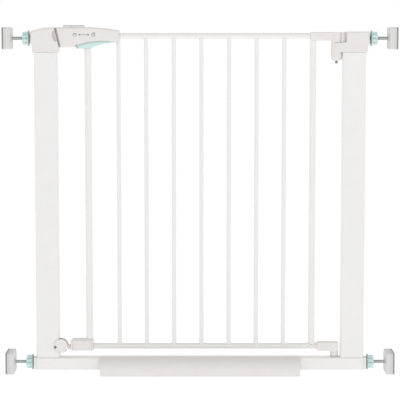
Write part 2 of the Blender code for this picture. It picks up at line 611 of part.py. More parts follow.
def build_pull_rod(door):
    lift = new_empty("pull_rod_lift", (-HINGE_X + LATCH_STILE_X, 0.0, 390.0), door)
    rod = cylinder("pull_rod", "Z", 1.8, 56.6, 730.0, (LATCH_STILE_X, 0.0), 12)
    part(rod, "zinc_steel", lift)


def build_gate():
    build_posts()
    build_threshold_bar()
    build_threshold_plugs()
    build_latch_post_cap()
    build_hinge_post_cap()
    build_top_hinge_pin()
    build_bottom_pivot_bush()
    build_step_ramp()
    build_bottom_catch()
    for level in SPINDLE_HEIGHTS:
        for side_name, side in (("left", -1), ("right", 1)):
            build_corner(level, side_name, side)

    door = new_empty("door_hinge_axis", (HINGE_X, 0.0, 0.0), ROOT)
    for build in (build_rails, build_uprights, build_top_hinge_arm, build_bottom_hinge,
                  build_bottom_latch_housing, build_handle_shells, build_handle_screws, build_squeeze_lever,
                  build_latch_bolt, build_lock_button, build_bottom_bolt, build_pull_rod):
        build(door)


clear_scene()
GATE = new_collection("safety_gate")
TOOLS = new_collection("cutters")
SHADERS = {name: new_material(name) for name in MATERIALS}
# The front ramp reaches further out than the wall cups do behind, so the door plane stands behind the origin.
DOOR_PLANE_Y = (RAMP_FRONT - CUP_DEPTH / 2) / 2
ROOT = new_empty("gate_frame", (0.0, DOOR_PLANE_Y, GROUND_CLEARANCE))
build_gate()
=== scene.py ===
"""Looks of a pressure-mounted safety gate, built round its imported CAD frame.

Shapes are drawn in millimetres in the gate's own axes: X along the gate, Y through it from the door plane
and Z up from the underside of the threshold bar. Places come from the boxes of the CAD nodes; the numbers
beside them are sizes and offsets within a piece.
"""

import json
import math

import bmesh
import bpy
from mathutils import Matrix, Vector


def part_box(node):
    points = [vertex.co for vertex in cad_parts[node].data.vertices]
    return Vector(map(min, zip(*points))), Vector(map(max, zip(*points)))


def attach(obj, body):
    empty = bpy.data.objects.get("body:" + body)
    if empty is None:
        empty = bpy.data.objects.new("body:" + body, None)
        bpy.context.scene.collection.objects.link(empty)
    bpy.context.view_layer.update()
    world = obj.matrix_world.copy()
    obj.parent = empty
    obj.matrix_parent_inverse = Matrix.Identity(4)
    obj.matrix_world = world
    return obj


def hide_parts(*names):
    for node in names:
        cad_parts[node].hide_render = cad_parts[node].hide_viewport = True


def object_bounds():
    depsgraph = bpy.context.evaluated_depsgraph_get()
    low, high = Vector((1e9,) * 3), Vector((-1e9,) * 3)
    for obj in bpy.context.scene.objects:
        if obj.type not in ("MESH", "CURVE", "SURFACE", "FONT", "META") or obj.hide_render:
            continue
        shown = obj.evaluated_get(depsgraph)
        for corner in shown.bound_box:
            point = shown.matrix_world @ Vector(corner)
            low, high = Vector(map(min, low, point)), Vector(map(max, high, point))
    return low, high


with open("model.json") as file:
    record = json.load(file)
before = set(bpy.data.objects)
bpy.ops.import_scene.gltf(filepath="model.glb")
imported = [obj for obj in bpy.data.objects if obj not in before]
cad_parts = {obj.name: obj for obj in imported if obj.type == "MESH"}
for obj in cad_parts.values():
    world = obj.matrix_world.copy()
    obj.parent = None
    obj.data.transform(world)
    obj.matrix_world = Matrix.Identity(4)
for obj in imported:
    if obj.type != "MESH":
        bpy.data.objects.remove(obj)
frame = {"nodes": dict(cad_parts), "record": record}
CAD_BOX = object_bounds()
SCENE = bpy.context.scene

BAR_LOW, BAR_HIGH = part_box("threshold_bar")
GATE_ORIGIN = Vector((0.0, (BAR_LOW.y + BAR_HIGH.y) / 2, BAR_LOW.z))
TO_WORLD = Matrix.Translation(GATE_ORIGIN) @ Matrix.Scale(0.001, 4)
SIDES = {"left": -1, "right": 1}

# sizes in millimetres that several pieces share
GAP = 0.3                   # between a moulding and the tube it sits on
TUBE_WALL = 1.2
SPINDLE_HOLE = 4.4          # radius of the holes that the spindles pass through
RAIL_SOCKET = 6.3           # radius of the sockets that hold a rail
SLANT = 9.6                 # how far the handle's latch end leans over its height
BEYOND = 5.0                # how far a cutter runs past the face that it opens

# the colour sockets of a Mix node
MIX_A, MIX_B, MIX_RESULT = 6, 7, 2


class Span:
    """A CAD node's box in millimetres, in the gate's axes."""

    def __init__(self, node):
        low, high = ((corner - GATE_ORIGIN) * 1000 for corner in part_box(node))
        self.x0, self.y0, self.z0 = low
        self.x1, self.y1, self.z1 = high

    def x(self):
        return (self.x0 + self.x1) / 2

    def z(self):
        return (self.z0 + self.z1) / 2


def spans(*nodes):
    return [Span(name) for name in nodes]


# ---- materials

def node(tree, kind, inputs=None, **settings):
    made = tree.nodes.new(kind)
    for key, value in settings.items():
        setattr(made, key, value)
    for key, value in (inputs or {}).items():
        if isinstance(value, bpy.types.NodeSocket):
            tree.links.new(value, made.inputs[key])
        else:
            made.inputs[key].default_value = value
    return made


def preset(shader, values):
    for key, value in values.items():
        shader.inputs[key].default_value = value


def noise(tree, place, scale, detail=3.0, roughness=0.5):
    return node(tree, "ShaderNodeTexNoise", {"Vector": place, "Scale": scale, "Detail": detail,
                                             "Roughness": roughness}).outputs["Fac"]


def ramp(tree, source, stops):
    """A colour ramp with (position, grey or colour) stops."""
    made = node(tree, "ShaderNodeValToRGB", {"Fac": source})
    elements = made.color_ramp.elements
    while len(elements) < len(stops):
        elements.new(0.5)
    for element, (position, value) in zip(elements, stops):
        element.position = position
        element.color = (*value, 1.0) if isinstance(value, tuple) else (value, value, value, 1.0)
    return made.outputs["Color"]


def bumps(tree, layers):
    """Stacked bumps; each layer is (height socket, depth in metres)."""
    normal = None
    for height, depth in layers:
        inputs = {"Height": height, "Distance": depth, "Strength": 1.0}
        if normal is not None:
            inputs["Normal"] = normal
        normal = node(tree, "ShaderNodeBump", inputs).outputs["Normal"]
    return normal


def crevices(tree, distance, darkest):
    """Painted shade: 1 on open surfaces, falling to darkest in seams and corners, from an ambient occlusion
    node.
    """
    shade = node(tree, "ShaderNodeAmbientOcclusion", {"Distance": distance}, samples=8).outputs["AO"]
    return ramp(tree, shade, [(0.25, darkest), (0.85, 1.0)])


def surface(name, colour, variation, roughness, layers, metallic=0.0, specular=0.5, coat=0.0, crevice=0.86):
    """A Principled surface whose colour, roughness and stacked bumps all vary by noise in object space.

    variation is (noise scale, darker colour factor); roughness is (noise scale, low, high);
    layers are (noise scale, noise detail, depth in millimetres).
    """
    material = bpy.data.materials.new(name)
    material.use_nodes = True
    tree = material.node_tree
    shader = tree.nodes["Principled BSDF"]
    place = node(tree, "ShaderNodeTexCoord").outputs["Object"]

    scale, darker = variation
    shaded = tuple(c * f for c, f in zip(colour, darker))
    tint = ramp(tree, noise(tree, place, scale, 4.0, 0.6), [(0.3, shaded), (0.7, tuple(colour))])
    # painted shade: the colour is darkened in seams and corners by the crevice shade
    crevice_shaded = node(tree, "ShaderNodeMix", {"Factor": 1.0, MIX_A: tint, MIX_B: crevices(tree, 0.006, crevice)},
                 data_type="RGBA", blend_type="MULTIPLY")
    tree.links.new(crevice_shaded.outputs[MIX_RESULT], shader.inputs["Base Color"])

    scale, low, high = roughness
    tree.links.new(ramp(tree, noise(tree, place, scale, 5.0, 0.65), [(0.35, low), (0.65, high)]),
                   shader.inputs["Roughness"])
    heights = [(noise(tree, place, size, detail), depth * 0.001) for size, detail, depth in layers]
    tree.links.new(bumps(tree, heights), shader.inputs["Normal"])
    preset(shader, {"Metallic": metallic, "Specular IOR Level": specular, "Coat Weight": coat,
                    "Coat Roughness": 0.15})
    return material


def make_materials():
    # orange-peel powder coat on steel tube
    powder = {"variation": (35, (0.975, 0.975, 0.97)), "layers": [(420, 2.0, 0.05), (2600, 2.0, 0.012)],
              "crevice": 0.93}
    # spark-eroded moulding texture on warm white plastic
    moulded = {"variation": (28, (0.97, 0.965, 0.96)), "layers": [(1500, 4.0, 0.05), (5200, 2.0, 0.02)]}
    satin = [(1300, 3.0, 0.03), (5200, 2.0, 0.012)]
    # small dark parts share one plain grain
    grain = [(1500, 4.0, 0.04)]
    brown = {"variation": (60, (0.93, 0.94, 0.94)), "roughness": (120, 0.45, 0.6), "layers": grain}
    return {
        "powder_coat": surface(
            "satin_white_powder_coat", (0.89, 0.882, 0.865), roughness=(60, 0.30, 0.42), coat=0.15,
            **powder),
        # painted shade: a darker copy of the white powder coat for the bottom rail, which lies in the door's
        # shade
        "powder_coat_shaded": surface(
            "satin_white_powder_coat_painted_shade", (0.84, 0.835, 0.82), roughness=(60, 0.32, 0.44), coat=0.1,
            **powder),
        "frame_plastic": surface(
            "fine_grain_warm_white_plastic", (0.85, 0.812, 0.792), roughness=(90, 0.42, 0.58), crevice=0.92,
            **moulded),
        "teal_plastic": surface(
            "satin_pale_teal_plastic", (0.65, 0.84, 0.82), (60, (0.955, 0.985, 0.985)), (120, 0.30, 0.45),
            satin, coat=0.1, crevice=0.92),
        # painted shade: a darker teal for the band along the top of the lever, which the housing shades
        "teal_painted_shade": surface(
            "teal_plastic_painted_shade", (0.56, 0.68, 0.67), (60, (0.955, 0.98, 0.98)), (120, 0.34, 0.5),
            satin, crevice=0.95),
        "cup_plastic": surface(
            "light_grey_plastic", (0.74, 0.74, 0.73), (40, (0.96, 0.96, 0.96)), (100, 0.40, 0.55),
            [(1600, 4.0, 0.05), (5200, 2.0, 0.02)]),
        "pad_rubber": surface(
            "matt_grey_rubber", (0.34, 0.34, 0.335), (90, (0.9, 0.9, 0.9)), (200, 0.78, 0.92),
            [(2200, 5.0, 0.09)], specular=0.3),
        "zinc_steel": surface(
            "zinc_plated_steel", (0.66, 0.66, 0.64), (140, (0.86, 0.88, 0.92)), (300, 0.24, 0.42),
            [(900, 5.0, 0.01)], metallic=1.0),
        "button_grey": surface(
            "grey_green_plastic", (0.31, 0.36, 0.36), (60, (0.95, 0.97, 0.97)), (120, 0.38, 0.5), grain),
        # grey for the nut washers, and as painted shade for the lever's end
        "washer_and_shade_grey": surface(
            "grey_washer_and_painted_shade_plastic", (0.44, 0.53, 0.53), (60, (0.93, 0.95, 0.95)), (120, 0.4, 0.55), grain,
            crevice=0.97),
        # painted shadow: a dark rim band round the bottom catch
        "shadow_brown": surface("catch_rim_painted_shadow", (0.30, 0.28, 0.27), **brown),
        # painted shadow: a dark lip round the latch end of the handle, standing for the dark gap between the
        # cap and the handle
        "lip_painted_shadow": surface("latch_gap_painted_shadow", (0.44, 0.415, 0.40), **brown),
        # painted shade: a darker copy of the cap plastic for the hollows in the latch post's cap
        "recess_painted_shade": surface(
            "shaded_warm_white_plastic", (0.64, 0.605, 0.59), roughness=(90, 0.46, 0.6), crevice=0.9,
            **moulded),
        "dark_plastic": surface(
            "dark_grey_plastic", (0.20, 0.235, 0.235), (60, (0.92, 0.94, 0.94)), (120, 0.4, 0.55), grain),
    }


# ---- outlines

# An outline is a function of an inset: it gives the closed list of points that lies that far inside the
# drawn line, always with the same number of points, so that rounded rims can be built from stacked insets.

def arc(centre, radius, start, end, steps):
    angles = [math.radians(start + (end - start) * i / steps) for i in range(steps + 1)]
    return [(centre[0] + radius * math.cos(a), centre[1] + radius * math.sin(a)) for a in angles]


def circle(radius, centre=(0.0, 0.0), sides=64):
    return lambda inset=0.0: arc(centre, radius - inset, 0, 360, sides)[:-1]


def rounded(corners, degrees_per_step=10):
    """An outline from (x, y, radius) corners given anticlockwise, each rounded by a tangent arc."""
    spots = [Vector(corner[:2]) for corner in corners]
    count = len(spots)
    area = sum(spots[i - 1].x * spots[i].y - spots[i].x * spots[i - 1].y for i in range(count))
    if area < 0:
        return rounded(corners[::-1], degrees_per_step)
    ahead = [(spots[(i + 1) % count] - spots[i]).normalized() for i in range(count)]

    def outline(inset=0.0):
        points = []
        for i, (x, y, radius) in enumerate(corners):
            before, after = ahead[i - 1], ahead[i]
            turn = math.atan2(before.x * after.y - before.y * after.x, before.dot(after))
            inward = Vector((-before.y - after.y, before.x + after.x)).normalized()
            convex = turn > 0
            size = max(radius - inset if convex else radius + inset, 0.02)
            corner = Vector((x, y)) + inward * (inset / math.cos(turn / 2))
            facing = 1 if convex else -1
            centre = corner + inward * (size / math.cos(turn / 2)) * facing
            start = math.degrees(math.atan2(-before.x * facing, before.y * facing))
            steps = max(2, math.ceil(abs(math.degrees(turn)) / degrees_per_step))
            points += arc(centre, size, start, start + math.degrees(turn), steps)
        return points

    return outline


def rounded_box(x0, x1, y0, y1, radius):
    return rounded([(x0, y0, radius), (x1, y0, radius), (x1, y1, radius), (x0, y1, radius)])


def plain(points):
    """An outline with sharp corners, for cutters."""
    return lambda inset=0.0: points


# ---- meshes, in millimetres

def at(u, v, w, plane):
    """A point of a drawing plane, with w along its normal, in the gate's axes."""
    return {"XY": (u, v, w), "XZ": (u, w, v), "YZ": (w, u, v)}[plane]


def as_object(name, edit):
    bmesh.ops.recalc_face_normals(edit, faces=edit.faces)
    mesh = bpy.data.meshes.new(name)
    edit.to_mesh(mesh)
    edit.free()
    obj = bpy.data.objects.new(name, mesh)
    SCENE.collection.objects.link(obj)
    return obj


def ring(edit, points, w, plane):
    return [edit.verts.new(at(u, v, w, plane)) for u, v in points]


def bridge(edit, first, second):
    count = len(first)
    for i in range(count):
        edit.faces.new((first[i], first[(i + 1) % count], second[(i + 1) % count], second[i]))


def loft(name, edit, rings, looped=False):
    """Skin a stack of rings, and join the last to the first or close both ends."""
    for first, second in zip(rings, rings[1:] + (rings[:1] if looped else [])):
        bridge(edit, first, second)
    if not looped:
        edit.faces.new(rings[0])
        edit.faces.new(rings[-1])
    return as_object(name, edit)


def rim_levels(face, direction, radius, segments):
    """(inset, place) pairs of a rounded rim, from the end face towards the side."""
    if radius <= 0:
        return [(0.0, face)]
    angles = [math.pi / 2 * k / segments for k in range(segments + 1)]
    return [(radius * (1 - math.sin(a)), face + direction * radius * (1 - math.cos(a))) for a in angles]


def prism(name, outline, low, high, plane, rims=(0.0, 0.0), segments=4):
    """An outline extruded from low to high, with its two rims rounded by the given radii."""
    edit = bmesh.new()
    levels = rim_levels(low, 1, rims[0], segments) + rim_levels(high, -1, rims[1], segments)[::-1]
    return loft(name, edit, [ring(edit, outline(inset), w, plane) for inset, w in levels])


def pipe(name, outer, inner, low, high, plane, mouth=0.25):
    """A hollow section: two outlines with the same number of points, with softened mouths."""
    edit = bmesh.new()
    outside = [(outer, mouth, low), (outer, 0.0, low + mouth), (outer, 0.0, high - mouth),
               (outer, mouth, high)]
    inside = [(inner, -inset, w) for _, inset, w in outside[::-1]]
    rings = [ring(edit, outline(inset), w, plane) for outline, inset, w in outside + inside]
    return loft(name, edit, rings, True)


def lathe(name, profile, plane, centre, sides=64):
    """A turned solid: profile lists (radius, place on the normal), and closes on the axis or on itself."""
    edit = bmesh.new()
    rings = []
    for radius, w in profile:
        if radius <= 0:
            rings.append([edit.verts.new(at(*centre, w, plane))])
        else:
            rings.append(ring(edit, circle(radius, centre, sides)(), w, plane))
    closed = len(rings[0]) > 1
    for first, second in zip(rings, rings[1:] + (rings[:1] if closed else [])):
        if len(first) == len(second):
            bridge(edit, first, second)
            continue
        tip, rim = (first, second) if len(first) == 1 else (second, first)
        for i in range(sides):
            edit.faces.new((tip[0], rim[i], rim[(i + 1) % sides]))
    return as_object(name, edit)


def sweep(name, path, radii, sides=10):
    """A closed bead along a closed path of 3-D points."""
    edit = bmesh.new()
    count = len(path)
    rings = []
    for i, point in enumerate(path):
        here = Vector(point)
        along = (Vector(path[(i + 1) % count]) - Vector(path[i - 1])).normalized()
        side = along.cross(Vector((0, 0, 1)))
        side = (side if side.length > 0.05 else along.cross(Vector((1, 0, 0)))).normalized()
        up = side.cross(along)
        rings.append([edit.verts.new(here + (side * math.cos(a) + up * math.sin(a)) * radii[i])
                      for a in [2 * math.pi * k / sides for k in range(sides)]])
    return loft(name, edit, rings, True)


def combine(target, tools, operation):
    """Cut closed meshes from the target or join them to it, and use up the tools."""
    for tool in tools:
        modifier = target.modifiers.new("combine", "BOOLEAN")
        modifier.operation = operation
        modifier.solver = "MANIFOLD"
        modifier.object = tool
    bpy.context.view_layer.update()
    evaluated = target.evaluated_get(bpy.context.evaluated_depsgraph_get())
    mesh = bpy.data.meshes.new_from_object(evaluated)
    target.modifiers.clear()
    target.data = mesh
    for tool in tools:
        bpy.data.objects.remove(tool, do_unlink=True)
    return target


def carve(target, *tools):
    return combine(target, tools, "DIFFERENCE")


def unite(target, *tools):
    return combine(target, tools, "UNION")


def block(name, x, y, z, radius=0.0):
    """A box from three (low, high) pairs, with its edges rounded."""
    return prism(name, rounded_box(x[0], x[1], z[0], z[1], radius), y[0], y[1], "XZ", (radius, radius), 3)


def rod(name, axis, radius, low, high, centre, rim=0.0, sides=48):
    plane = {"X": "YZ", "Y": "XZ", "Z": "XY"}[axis]
    return prism(name, circle(radius, centre, sides), low, high, plane, (rim, rim), segments=2)


def x_hole(s, radius, low, high):
    """A cutter along X through the middle of a box."""
    return rod("x_hole", "X", radius, low, high, (0.0, s.z()))


def end_rims(side, outer, inner):
    """A prism's rim radii when its outer end faces the low side (-1) or the high side (1)."""
    return (outer, inner) if side < 0 else (inner, outer)


def from_corner(s, points):
    """XZ points given from a box's low corner, each with its radius if it has one."""
    return [(s.x0 + x, s.z0 + z, *radius) for x, z, *radius in points]


def outwards(s, side):
    """The inner face of a box at one side of the gate, its length, and spans measured out from that face."""
    inner, outer = (s.x1, s.x0) if side < 0 else (s.x0, s.x1)
    return inner, abs(outer - inner), lambda near, far: sorted((inner + side * near, inner + side * far))


def ellipsoid(name, shape):
    """A unit sphere carried through the 4x4 matrix shape."""
    edit = bmesh.new()
    bmesh.ops.create_uvsphere(edit, u_segments=48, v_segments=32, radius=1.0)
    edit.transform(shape)
    return as_object(name, edit)


def joined(name, objects):
    """Several closed meshes as one object."""
    edit = bmesh.new()
    for obj in objects:
        edit.from_mesh(obj.data)
        bpy.data.objects.remove(obj, do_unlink=True)
    return as_object(name, edit)


def piece(obj, body, slot, replaced=None, material=None, sharp=38):
    """Finish a piece: world place, smooth shading, the material of its slot or the one given, its body, and
    the CAD node it stands for hidden.
    """
    obj.data.transform(TO_WORLD)
    obj.data.shade_smooth()
    obj.data.set_sharp_from_angle(angle=math.radians(sharp))
    weighted = obj.modifiers.new("weighted_normals", "WEIGHTED_NORMAL")
    weighted.keep_sharp = True
    weighted.weight = 60
    obj.data.materials.clear()
    obj.data.materials.append(LOOKS[material or slot])
    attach(obj, body)
    if replaced:
        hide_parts(replaced)
    return obj


# ---- welds

def saddle_path(x, radius, rail_radius, rail_z, side, steps=40):
    """Where an upright tube meets a rail that runs along X, above (side 1) or below (side -1) the rail."""
    path = []
    depth = min(radius, rail_radius - 0.15)
    for i in range(steps):
        angle = 2 * math.pi * i / steps
        y = depth * math.sin(angle)
        path.append((x + radius * math.cos(angle), y, rail_z + side * math.sqrt(rail_radius ** 2 - y * y)))
    return path


def bead(name, path, size):
    """A weld bead with the slight ripple of its passes under the coat."""
    radii = [size * (1 + 0.10 * math.sin(i * 2.1) + 0.06 * math.sin(i * 0.9)) for i in range(len(path))]
    return sweep(name, path, radii)


# ---- frame

POST_CORNER, BAR_CORNER = 4.5, 3.2


def section(width, depth, corner, wall, centre):
    """The outer and inner outlines of a rounded rectangular tube."""
    outer = rounded_box(centre[0] - width / 2, centre[0] + width / 2, centre[1] - depth / 2,
                        centre[1] + depth / 2, corner)
    return outer, lambda inset=0.0: outer(inset + wall)


def build_posts():
    for name in ("left_post", "right_post"):
        s = Span(name)
        outer, inner = section(s.x1 - s.x0, s.y1 - s.y0, POST_CORNER, TUBE_WALL, (s.x(), 0.0))
        piece(pipe(name + "_tube", outer, inner, s.z0, s.z1, "XY"), "frame", "powder_coat", name)
        path = [(x, y, s.z0 + 0.1) for x, y in outer()]
        piece(bead(name + "_foot_weld", path, 0.75), "frame", "powder_coat")


def build_threshold():
    s, bush = Span("threshold_bar"), Span("floor_pivot_bush")
    outer, inner = section(s.y1 - s.y0, s.z1 - s.z0, BAR_CORNER, TUBE_WALL, (0.0, s.z()))
    bar = pipe("threshold_tube", outer, inner, s.x0, s.x1, "YZ")
    brim, neck, bore, brim_foot = 9.0, 6.0, 4.0, bush.z1 - 1.5
    carve(bar, rod("bush_hole", "Z", neck + GAP, s.z1 - 8, s.z1 + 8, (bush.x(), 0.0)))
    piece(bar, "frame", "powder_coat", "threshold_bar")
    flange = [(brim, bush.z1 - 0.4), (brim - 0.4, bush.z1), (bore + 0.3, bush.z1), (bore, bush.z1 - 0.3),
              (bore, bush.z0), (neck, bush.z0), (neck, brim_foot), (brim, brim_foot)]
    flanged = lathe("pivot_bush", flange, "XY", (bush.x(), 0.0))
    piece(flanged, "frame", "frame_plastic", "floor_pivot_bush")


def build_threshold_plugs():
    bar_end = Span("threshold_bar").x1
    for side_name, side in SIDES.items():
        name = "threshold_plug_" + side_name
        plug, spindle = Span(name), Span("spindle_bottom_" + side_name)
        face, root = (plug.x0, plug.x1) if side < 0 else (plug.x1, plug.x0)
        lip = sorted((face, side * (bar_end + GAP)))
        outline = rounded_box(plug.y0, plug.y1, plug.z0, plug.z1, 3.6)
        cap = prism(name + "_cap", outline, *lip, "YZ", end_rims(side, 1.6, 0.2))
        inside = rounded_box(-11.4, 11.4, plug.z0 + 1.6, plug.z1 - 1.6, 2.0)
        unite(cap, prism("tongue", inside, *sorted((root, side * (bar_end + 1.0))), "YZ"))
        through = sorted((root - side * BEYOND, face + side * BEYOND))
        carve(cap, x_hole(spindle, SPINDLE_HOLE, *through))
        piece(cap, "frame", "frame_plastic", name, material="powder_coat")


RAMP_CREST_Y, RAMP_LIP_Y = -13.0, -11.0
RAMP_FULLNESS = 0.74        # 1 would make the curve an ellipse; less makes it fuller
RAMP_STEPS = 150
GROOVE_PITCH, GROOVE_HALF, GROOVED = 8.8, 0.9, (4.0, 56.0)


def ramp_profile(s, inset, groove_depth):
    """The ramp's cross-section in the YZ plane: a full quarter ellipse with shallow lengthwise grooves."""
    foot = s.z0 + 3.0
    reach, rise = RAMP_CREST_Y - s.y0 - inset, s.z1 - inset - foot
    toe = s.z0 + inset * 0.2
    points = [(s.y0 + inset + 1.0, toe), (s.y0 + inset, toe + 1.0)]
    travelled, before = 0.0, None
    for i in range(RAMP_STEPS + 1):
        angle = math.pi - math.pi / 2 * i / RAMP_STEPS
        across, up = abs(math.cos(angle)) ** RAMP_FULLNESS, math.sin(angle) ** RAMP_FULLNESS
        spot = Vector((RAMP_CREST_Y - reach * across, foot + rise * up))
        travelled += 0.0 if before is None else (spot - before).length
        before = spot
        normal = Vector((math.cos(angle) / reach, math.sin(angle) / rise)).normalized()
        offset = abs((travelled + GROOVE_PITCH / 2) % GROOVE_PITCH - GROOVE_PITCH / 2)
        if offset < GROOVE_HALF and GROOVED[0] < travelled < GROOVED[1]:
            spot = spot - normal * groove_depth * (1 + math.cos(math.pi * offset / GROOVE_HALF)) / 2
        points.append((spot.x, spot.y))
    top, under = s.z1 - inset, s.z1 - 1.2 - inset
    back = RAMP_CREST_Y - 0.3
    points += [(s.y1 - 0.8, top), (s.y1, top - 0.6), (s.y1, under + 0.2), (s.y1 - 0.2, under), (back, under),
               (back, toe)]
    return points


def draw_in(verts, s, side):
    """Narrow one end of the ramp towards its toe and towards its lip."""
    for vert in verts:
        forward = max(0.0, (RAMP_CREST_Y - vert.co.y) / (RAMP_CREST_Y - s.y0))
        backward = max(0.0, (vert.co.y - RAMP_LIP_Y) / (s.y1 - RAMP_LIP_Y))
        vert.co.x -= side * (3.2 * min(1.0, forward) ** 3 + 8.5 * min(1.0, backward) ** 2.2)
    return verts


def build_ramp():
    s = Span("step_ramp")
    edit = bmesh.new()
    end_round, end_steps, groove_depth, groove_end = 1.6, 6, 0.3, 12.0
    angles = [math.pi / 2 * k / end_steps for k in range(end_steps + 1)]
    stations = [(end_round * (1 - math.cos(a)), end_round * (1 - math.sin(a)), 0.0) for a in angles]
    stations.append((groove_end, 0.0, groove_depth))
    half = (s.x1 - s.x0) / 2
    left, right = [[draw_in(ring(edit, ramp_profile(s, inset, groove), side * (half - depth), "YZ"), s, side)
                    for depth, inset, groove in stations] for side in (-1, 1)]
    skin = loft("threshold_ramp", edit, left + right[::-1])
    front, back, foot = s.y0 + 2.6, RAMP_CREST_Y - 1.2, s.z0 - 3
    hollow = rounded([(front, foot, 0), (back, foot, 0), (back, s.z1 - 3.6, 1.0), (-18.0, s.z1 - 4.4, 8.0),
                      (front, s.z0 + 10, 8.0)])
    carve(skin, prism("hollow", hollow, s.x0 + 14, s.x1 - 14, "YZ"))
    piece(skin, "frame", "frame_plastic", "step_ramp", sharp=30)


def cap_collar(post, low, overhang=2.9):
    """The lip of a post cap that wraps the top of its post."""
    outline = rounded_box(post.x0 - overhang, post.x1 + overhang, post.y0 - overhang,
                          post.y1 + overhang, 6.0)
    return prism("collar", outline, low, low + 9.4, "XY", (0.9, 0.9), segments=3)


def build_latch_post_cap():
    s, post, spindle, plate = spans("latch_post_cap", "left_post", "spindle_top_left", "strike_plate")
    foot = post.z1 + GAP
    outline = rounded([(s.x0 + 4.8, foot, 0.5), (s.x1 - 0.8, foot, 0.5), (s.x1, foot + 12.4, 2.0),
                       (s.x1 - 10.2, s.z1 + 0.2, 1.6), (s.x0 + 28.6, s.z1 - 0.7, 60.0),
                       (s.x0, s.z1 - 8.6, 6.0), (s.x0, foot + 19.6, 3.5), (s.x0 + 4.8, foot + 15.2, 3.0)], 6)
    cap = prism("latch_cap", outline, s.y0, s.y1, "XZ", (4.2, 4.2), segments=6)
    unite(cap, cap_collar(post, foot))
    neck = sorted((s.x0 + 2.0, s.x0 - 2.4))
    unite(cap, rod("neck", "X", 7.0, *neck, (0.0, spindle.z()), rim=0.6))
    pocket = (plate.z0 - 0.4, plate.z1 + 0.4)
    carve(cap, block("pocket", (plate.x0 - GAP, s.x1 + 16.0), (-8.9, 8.9), pocket),
          x_hole(spindle, SPINDLE_HOLE, s.x0 - 6, plate.x0 - 5))
    scooped = scoop_cap(cap, s)
    piece(cap, "frame", "frame_plastic", "latch_post_cap")
    # painted shade: the faces inside the scoops take the darker copy
    cap.data.materials.append(LOOKS["recess_painted_shade"])
    for index in scooped:
        cap.data.polygons[index].material_index = 1
    face = block("strike_face", (plate.x0, plate.x1), (plate.y0, plate.y1), (plate.z0, plate.z1), 0.4)
    piece(face, "frame", "zinc_steel", "strike_plate")


def scoop_cap(cap, s):
    """Hollow a tilted finger scoop in the cap's front and back, and list the faces inside the scoops."""
    tilt, radii = Matrix.Rotation(-0.2, 4, "Y"), Matrix.Diagonal((6.8, 6.4, 13.5)).to_4x4()
    shapes = [Matrix.Translation((s.x1 - 8.2, face * 1.12, s.z1 - 18.5)) @ tilt @ radii
              for face in (s.y0, s.y1)]
    carve(cap, *[ellipsoid("scoop", shape) for shape in shapes])
    inverses = [shape.inverted() for shape in shapes]
    return [polygon.index for polygon in cap.data.polygons
            if min((inverse @ polygon.center).length for inverse in inverses) < 1.02]


def build_hinge_post_cap():
    s, post, pin, spindle = spans("hinge_post_cap", "right_post", "hinge_pin", "spindle_top_right")
    foot, hinge_x = post.z1 + GAP, pin.x()
    left, right = post.x0 - 0.5, post.x1 + 3
    step = left + 8.0
    outline = rounded([(left, foot, 0.5), (right, foot, 0.5), (right, foot + 14.5, 2.0),
                       (s.x1, foot + 17.5, 2.5), (s.x1, s.z1, 3.5), (step, s.z1, 2.2),
                       (step, foot + 22.4, 1.5), (left, foot + 20.6, 1.0)], 6)
    cap = prism("hinge_cap", outline, s.y0, s.y1, "XZ", (3.6, 3.6), segments=6)
    barrel_top = foot + 20.6
    flank = [(hinge_x, -11.9), (left + 3.0, -15.7), (step, -15.7), (step, 15.7), (left + 3.0, 15.7),
             (hinge_x, 11.9), (hinge_x + 4.0, 10.4), (hinge_x + 8.5, 6.0), (hinge_x + 9.8, 0.0),
             (hinge_x + 8.5, -6.0), (hinge_x + 4.0, -10.4)]
    fairing = prism("fairing", plain(flank), foot + 0.4, barrel_top - 0.2, "XY")
    slope = [(hinge_x + 9.4, -9.6), (hinge_x + 13.0, -10.2), (left + 11.0, -3.0), (left + 11.0, 3.0),
             (hinge_x + 13.0, 10.2), (hinge_x + 9.4, 9.6)]
    web = prism("web", plain(slope), barrel_top - 0.8, s.z1 - 1.0, "XY")
    unite(cap, fairing, hinge_barrel(hinge_x, barrel_top, s.z0 + 4.0), web)
    unite(cap, cap_collar(post, foot, 2.6))
    carve(cap, x_hole(spindle, SPINDLE_HOLE, post.x0 + 13.6, s.x1 + 6),
          rod("knuckle_room", "Z", 12.6, barrel_top + 0.2, s.z1 + BEYOND, (hinge_x, 0.0), sides=96))
    piece(cap, "frame", "frame_plastic", "hinge_post_cap")
    tip = [(0.0, pin.z1), (3.2, pin.z1), (3.5, pin.z1 - 0.3), (3.5, pin.z0 + 6.6), (2.7, pin.z0 + 5.6),
           (2.6, pin.z0 + 1.0), (1.8, pin.z0 + 0.1), (0.0, pin.z0)]
    piece(lathe("hinge_pin_rod", tip, "XY", (hinge_x, 0.0), 40), "frame", "zinc_steel", "hinge_pin",
          material="dark_plastic")


def hinge_barrel(x, top, foot):
    """The lower hinge barrel: a bore for the pin, with room for the closing spring round it."""
    outer, bore, room = 12.0, 3.9, 9.0
    profile = [(10.6, top), (outer, top - 1.4), (outer, foot + 6.2), (11.7, foot + 5.0), (8.8, foot + 0.4),
               (8.0, foot), (4.2, foot), (bore, foot + 0.4), (bore, foot + 8), (room, foot + 8),
               (room, foot + 33), (bore, foot + 33), (bore, top)]
    return lathe("hinge_barrel", profile, "XY", (x, 0.0), 72)


